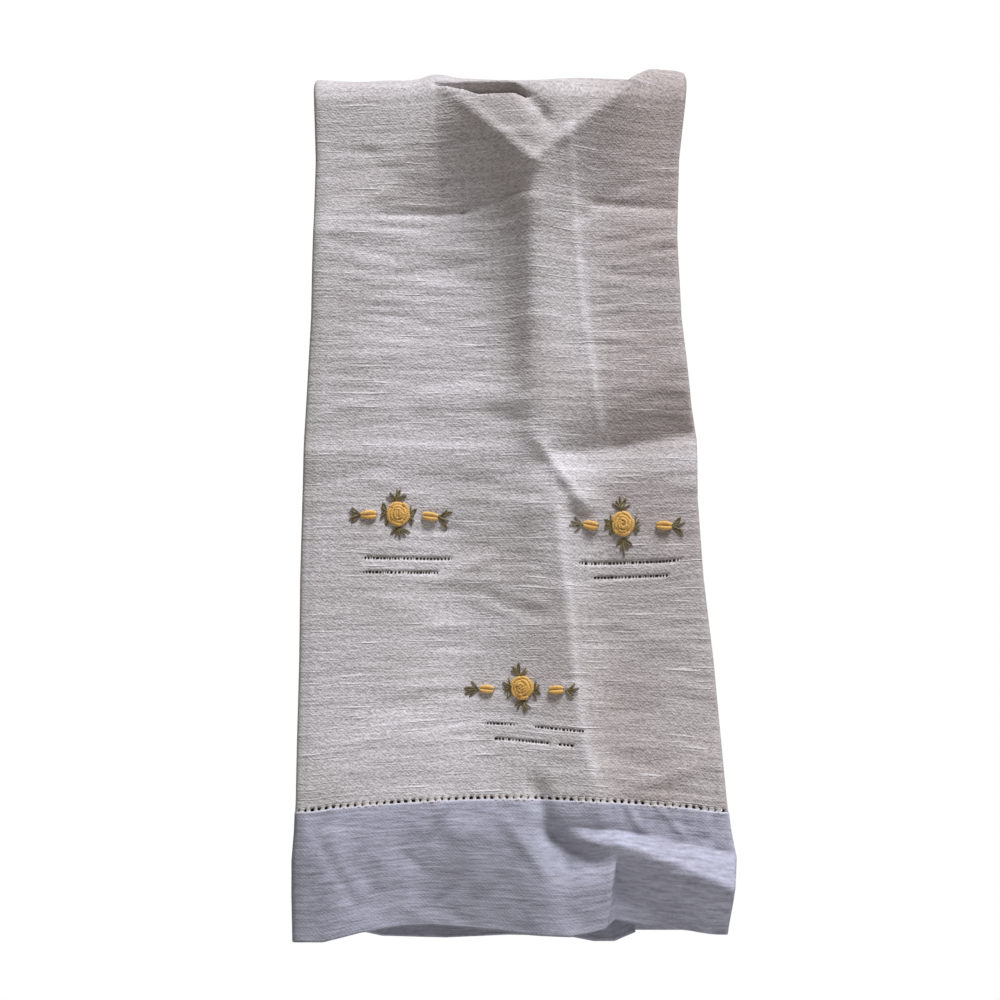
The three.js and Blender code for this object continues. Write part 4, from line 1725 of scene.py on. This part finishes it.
@dataclass(frozen=True)
class OpenWork:
    """Bundles of warp thread left standing across the drawn-thread lines."""

    pitch: float = 1.32
    waist: float = 0.24
    foot: float = 0.38
    flat: float = 0.5
    anchor: float = 0.3
    thin: float = 0.8
    thick: float = 1.45
    wander: float = 0.37
    apart: tuple[float, ...] = (0.6, 0.85, 1.0, 1.2)
    apart_odds: tuple[float, ...] = (0.2, 0.3, 0.3, 0.2)
    seed: int = 5

    def build(self, drape: Drape, strand: Stitch) -> bpy.types.Object:
        """Stand the bundles across the lines, unevenly as the threads were counted by eye.

        Args:
            drape: The cloth's hung form.
            strand: A plain strand.

        Returns:
            The piece.
        """
        work = StitchWork(drape, face=0.0)
        rng = np.random.default_rng(self.seed)
        for line in DRAWN_LINES:
            for start, end in line.runs:
                x = start
                while x < end:
                    wave = 0.5 + 0.5 * math.sin(self.wander * x + line.level)
                    girth = mix(self.waist, self.foot, np.abs(BUNDLE) ** 2)
                    girth = girth * mix(self.thin, self.thick, wave) * rng.uniform(0.88, 1.15)
                    reach = line.tall / 2 + self.anchor
                    bar = np.stack([rng.normal(0.05, 0.1) * BUNDLE, BUNDLE * reach, 0 * BUNDLE], -1)
                    work.add(strand, strand.laid(bar, girth, self.flat), (x, line.level))
                    x += self.pitch * rng.choice(self.apart, p=self.apart_odds)
        return work.build("drawn_thread_bars", BARE_THREAD)


@dataclass(frozen=True)
class RoseSpray:
    """One motif: a bullion rose, a bud each side and leaves between and beyond them."""

    name: str
    x: float
    z: float
    buds: tuple[float, float]
    ends: tuple[float, float]
    top: float
    low: float
    heart: Heart
    seed: int
    # Rings of the rose: radius, number of stitches, share of a turn of each, height, girth
    rings: tuple[tuple[float, int, float, float, float], ...] = (
        (3.52, 5, 0.24, 0.6, 0.84),
        (2.4, 4, 0.29, 1.0, 0.78),
        (1.3, 3, 0.38, 1.35, 0.68),
    )
    stretch: float = 1.13
    overlap: float = 1.12
    spiral: float = 0.55
    climb: float = 0.25
    heart_girth: float = 0.5
    petal_fade: float = 0.25
    heart_fade: float = 0.2
    bud_length: float = 6.4
    bud_girth: float = 0.92
    bud_apart: float = 0.86
    bud_levels: tuple[float, float] = (-0.5, -0.8)
    bud_closing: float = 0.6
    bud_droop: float = 0.35
    leaf_width: float = 0.6
    leaf_thread: float = 0.26
    leaf_root: float = 0.5
    leaf_fade: float = 0.55
    looped_share: float = 0.4

    def build_rose(self, drape: Drape, bullion: Stitch) -> bpy.types.Object:
        """Work the rose from the outer ring in, each stitch tucked under the next.

        Args:
            drape: The cloth's hung form.
            bullion: A bullion stitch.

        Returns:
            The piece.
        """
        work = StitchWork(drape)
        rng = np.random.default_rng(self.seed)
        share = np.linspace(0, 1, 25)
        taper = np.sqrt(np.clip(1 - np.abs(2 * share - 1) ** 5, 0.05, 1))
        for radius, count, span, height, girth in self.rings:
            first = rng.uniform(0, 2 * math.pi)
            for k in range(count):
                round_it = k / count + span * (share - 0.5) * self.overlap
                turn = first + 2 * math.pi * round_it + rng.normal(0, 0.05)
                reach = radius + (share - 0.5) * self.spiral + rng.normal(0, 0.06)
                lift = height + self.climb * (share - 0.5)
                line = np.stack([reach * np.cos(turn), self.stretch * reach * np.sin(turn), lift], -1)
                laid = bullion.laid(line, girth * taper * rng.uniform(0.93, 1.06))
                work.add(bullion, laid, (self.x, self.z), rng.uniform(0, self.petal_fade))
        for line in self.heart_lines(share):
            laid = bullion.laid(line, self.heart_girth * taper)
            work.add(bullion, laid, (self.x, self.z), rng.uniform(0, self.heart_fade))
        return work.build(f"rose_stitches_{self.name}", YELLOW_FLOSS)

    def heart_lines(self, share: Array) -> list[Array]:
        """Lines of the short stitches in the rose's heart.

        Args:
            share: Shares of the length, from one end to the other.

        Returns:
            A line (across, up, off the cloth) for each stitch.
        """
        across = 2 * share - 1
        lines = [np.stack([0.8 * across, 0.2 * across, 1.3 + 0 * across], -1)]
        if self.heart is Heart.SWIRL:
            turn = 0.6 + 4.4 * share
            reach = 0.25 + 0.75 * share
            return [*lines, np.stack([reach * np.cos(turn), reach * np.sin(turn), 1.75 - 0.2 * share], -1)]
        tilt = 0.0 if self.heart is Heart.UPRIGHT else 0.75
        for offset in (-0.5, 0.5):
            x, y = offset + 0.12 * across, 1.05 * across
            lines.append(self.turned(np.stack([x, y, 1.7 - 0.1 * across**2], -1), -tilt))
        return lines

    def build_buds(self, drape: Drape, bullion: Stitch) -> bpy.types.Object:
        """Work each bud as two bullions side by side, bowed round a slit that closes at both ends.

        Args:
            drape: The cloth's hung form.
            bullion: A bullion stitch.

        Returns:
            The piece.
        """
        work = StitchWork(drape)
        rng = np.random.default_rng(self.seed + 50)
        across = np.linspace(-1, 1, 21)
        taper = np.sqrt(np.clip(1 - np.abs(across) ** 2.6, 0.06, 1))
        for dx, dz in zip(self.buds, self.bud_levels):
            tilt, length = rng.normal(0, 0.12), self.bud_length * rng.uniform(0.9, 1.06)
            for side in (-1, 1):
                bow = side * self.bud_apart * (1 - self.bud_closing * across**2)
                lift = self.bud_girth * (1 - self.bud_droop * across**2)
                line = np.stack([across * length / 2, bow, lift], -1)
                laid = bullion.laid(self.turned(line, tilt), self.bud_girth * taper)
                work.add(bullion, laid, (self.x + dx, self.z + dz), rng.uniform(0, self.petal_fade))
        return work.build(f"bud_stitches_{self.name}", YELLOW_FLOSS)

    def build_leaves(self, drape: Drape, strand: Stitch) -> bpy.types.Object:
        """Work the sprays of leaves, each a fan of looped chain stitches and plain straight ones.

        Args:
            drape: The cloth's hung form.
            strand: A plain strand.

        Returns:
            The piece.
        """
        work = StitchWork(drape)
        rng = np.random.default_rng(self.seed + 90)
        # Leaves of each kind of spray: turn in degrees, length
        end = ((-50, 4.8), (-18, 4.8), (12, 5.2), (44, 4.8))
        tuft = ((-58, 4.2), (-24, 4.4), (5, 5.2), (32, 4.5), (60, 4.2))
        side = ((-78, 4.4), (-40, 3.4), (6, 2.8), (42, 3.6), (80, 4.4))
        # Sprays: place across and up from the rose, heading in degrees, where the leaves start, leaves
        sprays = (
            (self.ends[0], -0.6, 90, -2.2, end),
            (self.ends[1], -0.9, -90, -2.2, end),
            (-0.8, self.top + 0.3, 0, -2.2, tuft),
            (0.4, self.low - 0.3, 180, -2.2, tuft),
            (-4.2, 0.2, 90, 0.0, side),
            (4.2, -0.6, -90, 0.0, side),
        )
        for dx, dz, heading, base, leaves in sprays:
            for turn, length in leaves:
                angle = math.radians(turn + rng.normal(0, 6))
                looped = rng.random() < self.looped_share
                own_length, plump = length * rng.uniform(0.88, 1.1), rng.uniform(0.7, 1.15)
                for line, girth in self.leaf_lines(own_length, plump, looped):
                    fanned = self.turned(line, angle)
                    fanned[:, 1] += base
                    laid = strand.laid(self.turned(fanned, math.radians(heading)), girth, 0.9)
                    work.add(strand, laid, (self.x + dx, self.z + dz), rng.uniform(0, self.leaf_fade))
        return work.build(f"leaf_stitches_{self.name}", GREEN_FLOSS)

    def leaf_lines(self, length: float, plump: float, looped: bool) -> list[tuple[Array, Array]]:
        """Lines and girths of one leaf.

        Args:
            length: Its length.
            plump: Its width against the usual.
            looped: Whether it is a chain stitch tied at its tip, or one straight stitch.

        Returns:
            A line and its girths for each strand.
        """
        t = np.linspace(0, 1, 31)
        thread = self.leaf_thread
        if not looped:
            crest = np.sin(math.pi * t)
            bowed = 0.25 * plump * np.sin(3 * t)
            straight = np.stack([bowed, length * t - self.leaf_root, thread * (1 + crest)], -1)
            return [(straight, thread * plump * (0.8 + 0.7 * crest))]
        up = (1 - np.cos(2 * math.pi * t)) / 2
        even = np.full(len(t), thread)
        across = self.leaf_width * plump * np.sin(2 * math.pi * t) * np.sqrt(up)
        loop = np.stack([across, length * up - self.leaf_root, even], -1)
        tie = np.stack([0 * t, length - 0.75 + 0.8 * t, thread * (1.9 - 1.5 * t)], -1)
        return [(loop, even), (tie, thread * (0.95 - 0.4 * t))]

    @staticmethod
    def turned(line: Array, angle: float) -> Array:
        """Line turned about its own origin on the cloth."""
        c, s = math.cos(angle), math.sin(angle)
        return np.stack([c * line[:, 0] - s * line[:, 1], s * line[:, 0] + c * line[:, 1], line[:, 2]], -1)

    def stands_for(self, *kinds: str) -> list[str]:
        """Names of the solids of this motif."""
        return [f"{kind}_{self.name}" for kind in kinds]


MOTIFS = (
    RoseSpray("left", -38.0, -157.3, (-10.8, 11.9), (-16.2, 17.4), 7.0, -7.2, Heart.UPRIGHT, 3),
    RoseSpray("right", 45.6, -161.2, (-11.9, 15.4), (-17.3, 20.6), 7.4, -7.7, Heart.SWIRL, 4),
    RoseSpray("lower", 8.2, -224.1, (-12.9, 12.7), (-18.5, 18.5), 6.7, -7.2, Heart.SLANT, 6),
)


@dataclass(frozen=True)
class Lamp:
    """One soft studio panel."""

    name: str
    place: tuple[float, float, float]
    aim: tuple[float, float, float]
    size: float
    power: float
    colour: str

    def build(self) -> bpy.types.Object:
        """Hang the panel and turn it to its aim.

        Returns:
            The lamp.
        """
        data = bpy.data.lights.new(self.name, "AREA")
        data.shape, data.size, data.energy = "SQUARE", self.size, self.power
        data.color = linear(self.colour)[:3]
        lamp = bpy.data.objects.new(self.name, data)
        lamp.location = self.place
        away = np.array(self.place) - np.array(self.aim)
        flat = math.hypot(away[0], away[1])
        lamp.rotation_euler = (math.atan2(flat, away[2]), 0, math.atan2(away[0], -away[1]))
        lamp.visible_camera = False
        bpy.context.scene.collection.objects.link(lamp)
        return lamp


@dataclass(frozen=True)
class Studio:
    """Pale floor, white surround, soft panels and the camera."""

    floor_level: float = -0.6
    floor_radius: float = 0.8
    floor_colour: str = "#cfcecb"
    lens: float = 76.8
    camera_place: tuple[float, float, float] = (0.0, -0.8105, -0.2352)
    camera_pitch: float = 96.0
    surround: str = "#ffffff"
    ambient: str = "#f2e4d6"
    ambient_strength: float = 0.175
    lamps: tuple[Lamp, ...] = (
        Lamp("key_panel", (1.4, -2.0, 4.2), (0.0, 0.0, -0.15), 1.9, 428.0, "#f4f5fd"),
        Lamp("fill_panel", (-0.9, -1.5, 0.6), (0.0, 0.0, -0.15), 1.4, 1.0, "#f8f7fb"),
        Lamp("back_panel", (0.7, 2.2, -0.15), (0.0, 0.0, -0.15), 1.4, 24.0, "#f4f5fd"),
    )

    def build(self) -> None:
        """Set the whole studio."""
        self.lay_floor()
        self.light_world()
        for lamp in self.lamps:
            lamp.build()
        self.set_camera()
        bpy.context.scene.view_settings.view_transform = "Standard"

    def lay_floor(self) -> None:
        """Lay the plain floor."""
        deselect()
        bpy.ops.mesh.primitive_circle_add(
            vertices=96,
            radius=self.floor_radius,
            fill_type="NGON",
            location=(0, 0, self.floor_level),
        )
        floor = bpy.context.active_object
        floor.name = "studio_floor"
        made = bpy.data.materials.new("matt_pale_floor")
        made.use_nodes = True
        shader = made.node_tree.nodes["Principled BSDF"]
        shader.inputs["Base Color"].default_value = linear(self.floor_colour)
        shader.inputs["Roughness"].default_value = 0.9
        floor.data.materials.append(made)

    def light_world(self) -> None:
        """White to the camera, and a dim warm light from all round."""
        world = bpy.data.worlds.new("studio_surround")
        bpy.context.scene.world = world
        world.use_nodes = True
        tree = world.node_tree
        tree.nodes.clear()
        path = add_node(tree, "ShaderNodeLightPath")
        seen = add_node(tree, "ShaderNodeBackground", {"Color": linear(self.surround), "Strength": 1.0})
        warm = {"Color": linear(self.ambient), "Strength": self.ambient_strength}
        lit = add_node(tree, "ShaderNodeBackground", warm)
        split = {0: path.outputs["Is Camera Ray"], 1: lit.outputs[0], 2: seen.outputs[0]}
        both = add_node(tree, "ShaderNodeMixShader", split)
        add_node(tree, "ShaderNodeOutputWorld", {0: both.outputs[0]})

    def set_camera(self) -> None:
        """Stand the camera where the picture was taken from."""
        data = bpy.data.cameras.new("camera")
        data.lens, data.sensor_width = self.lens, 36.0
        data.clip_start, data.clip_end = 0.01, 20.0
        camera = bpy.data.objects.new("camera", data)
        camera.location = self.camera_place
        camera.rotation_euler = (math.radians(self.camera_pitch), 0, 0)
        bpy.context.scene.collection.objects.link(camera)
        bpy.context.scene.camera = camera


def seat(piece: bpy.types.Object, nodes: Sequence[str] = ()) -> bpy.types.Object:
    """Put a finished piece on the towel's one body.

    Args:
        piece: The piece.
        nodes: The solids it stands for.

    Returns:
        The same piece.
    """
    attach(piece, "root")
    if nodes:
        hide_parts(*nodes)
    LOG.info("%s: %d faces", piece.name, len(piece.data.polygons))
    return piece


def main() -> None:
    """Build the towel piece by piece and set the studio."""
    logging.basicConfig(level=logging.INFO, format="%(name)s: %(message)s")
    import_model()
    drape = Drape()
    cloth = Cloth(drape)
    body = seat(cloth.build_body(), ["towel"])
    hem = seat(cloth.build_hem(), ["towel"])
    bullion, strand, bar = Stitch.bullion(), Stitch.strand(), Stitch.strand(rings=6)
    on_cloth = [
        hem,
        seat(Hemstitching().build(drape, bar)),
        seat(OpenWork().build(drape, bar)),
    ]
    for motif in MOTIFS:
        rose = motif.stands_for("rose")
        buds = motif.stands_for("bud_w", "bud_e")
        leaves = motif.stands_for(
            "leaf_end_w", "leaf_end_e", "leaf_top", "leaf_low", "leaf_in_w", "leaf_in_e"
        )
        on_cloth.append(seat(motif.build_rose(drape, bullion), rose))
        on_cloth.append(seat(motif.build_buds(drape, bullion), buds))
        on_cloth.append(seat(motif.build_leaves(drape, strand), leaves))
    Studio().build()


if __name__ == "__main__":
    main()
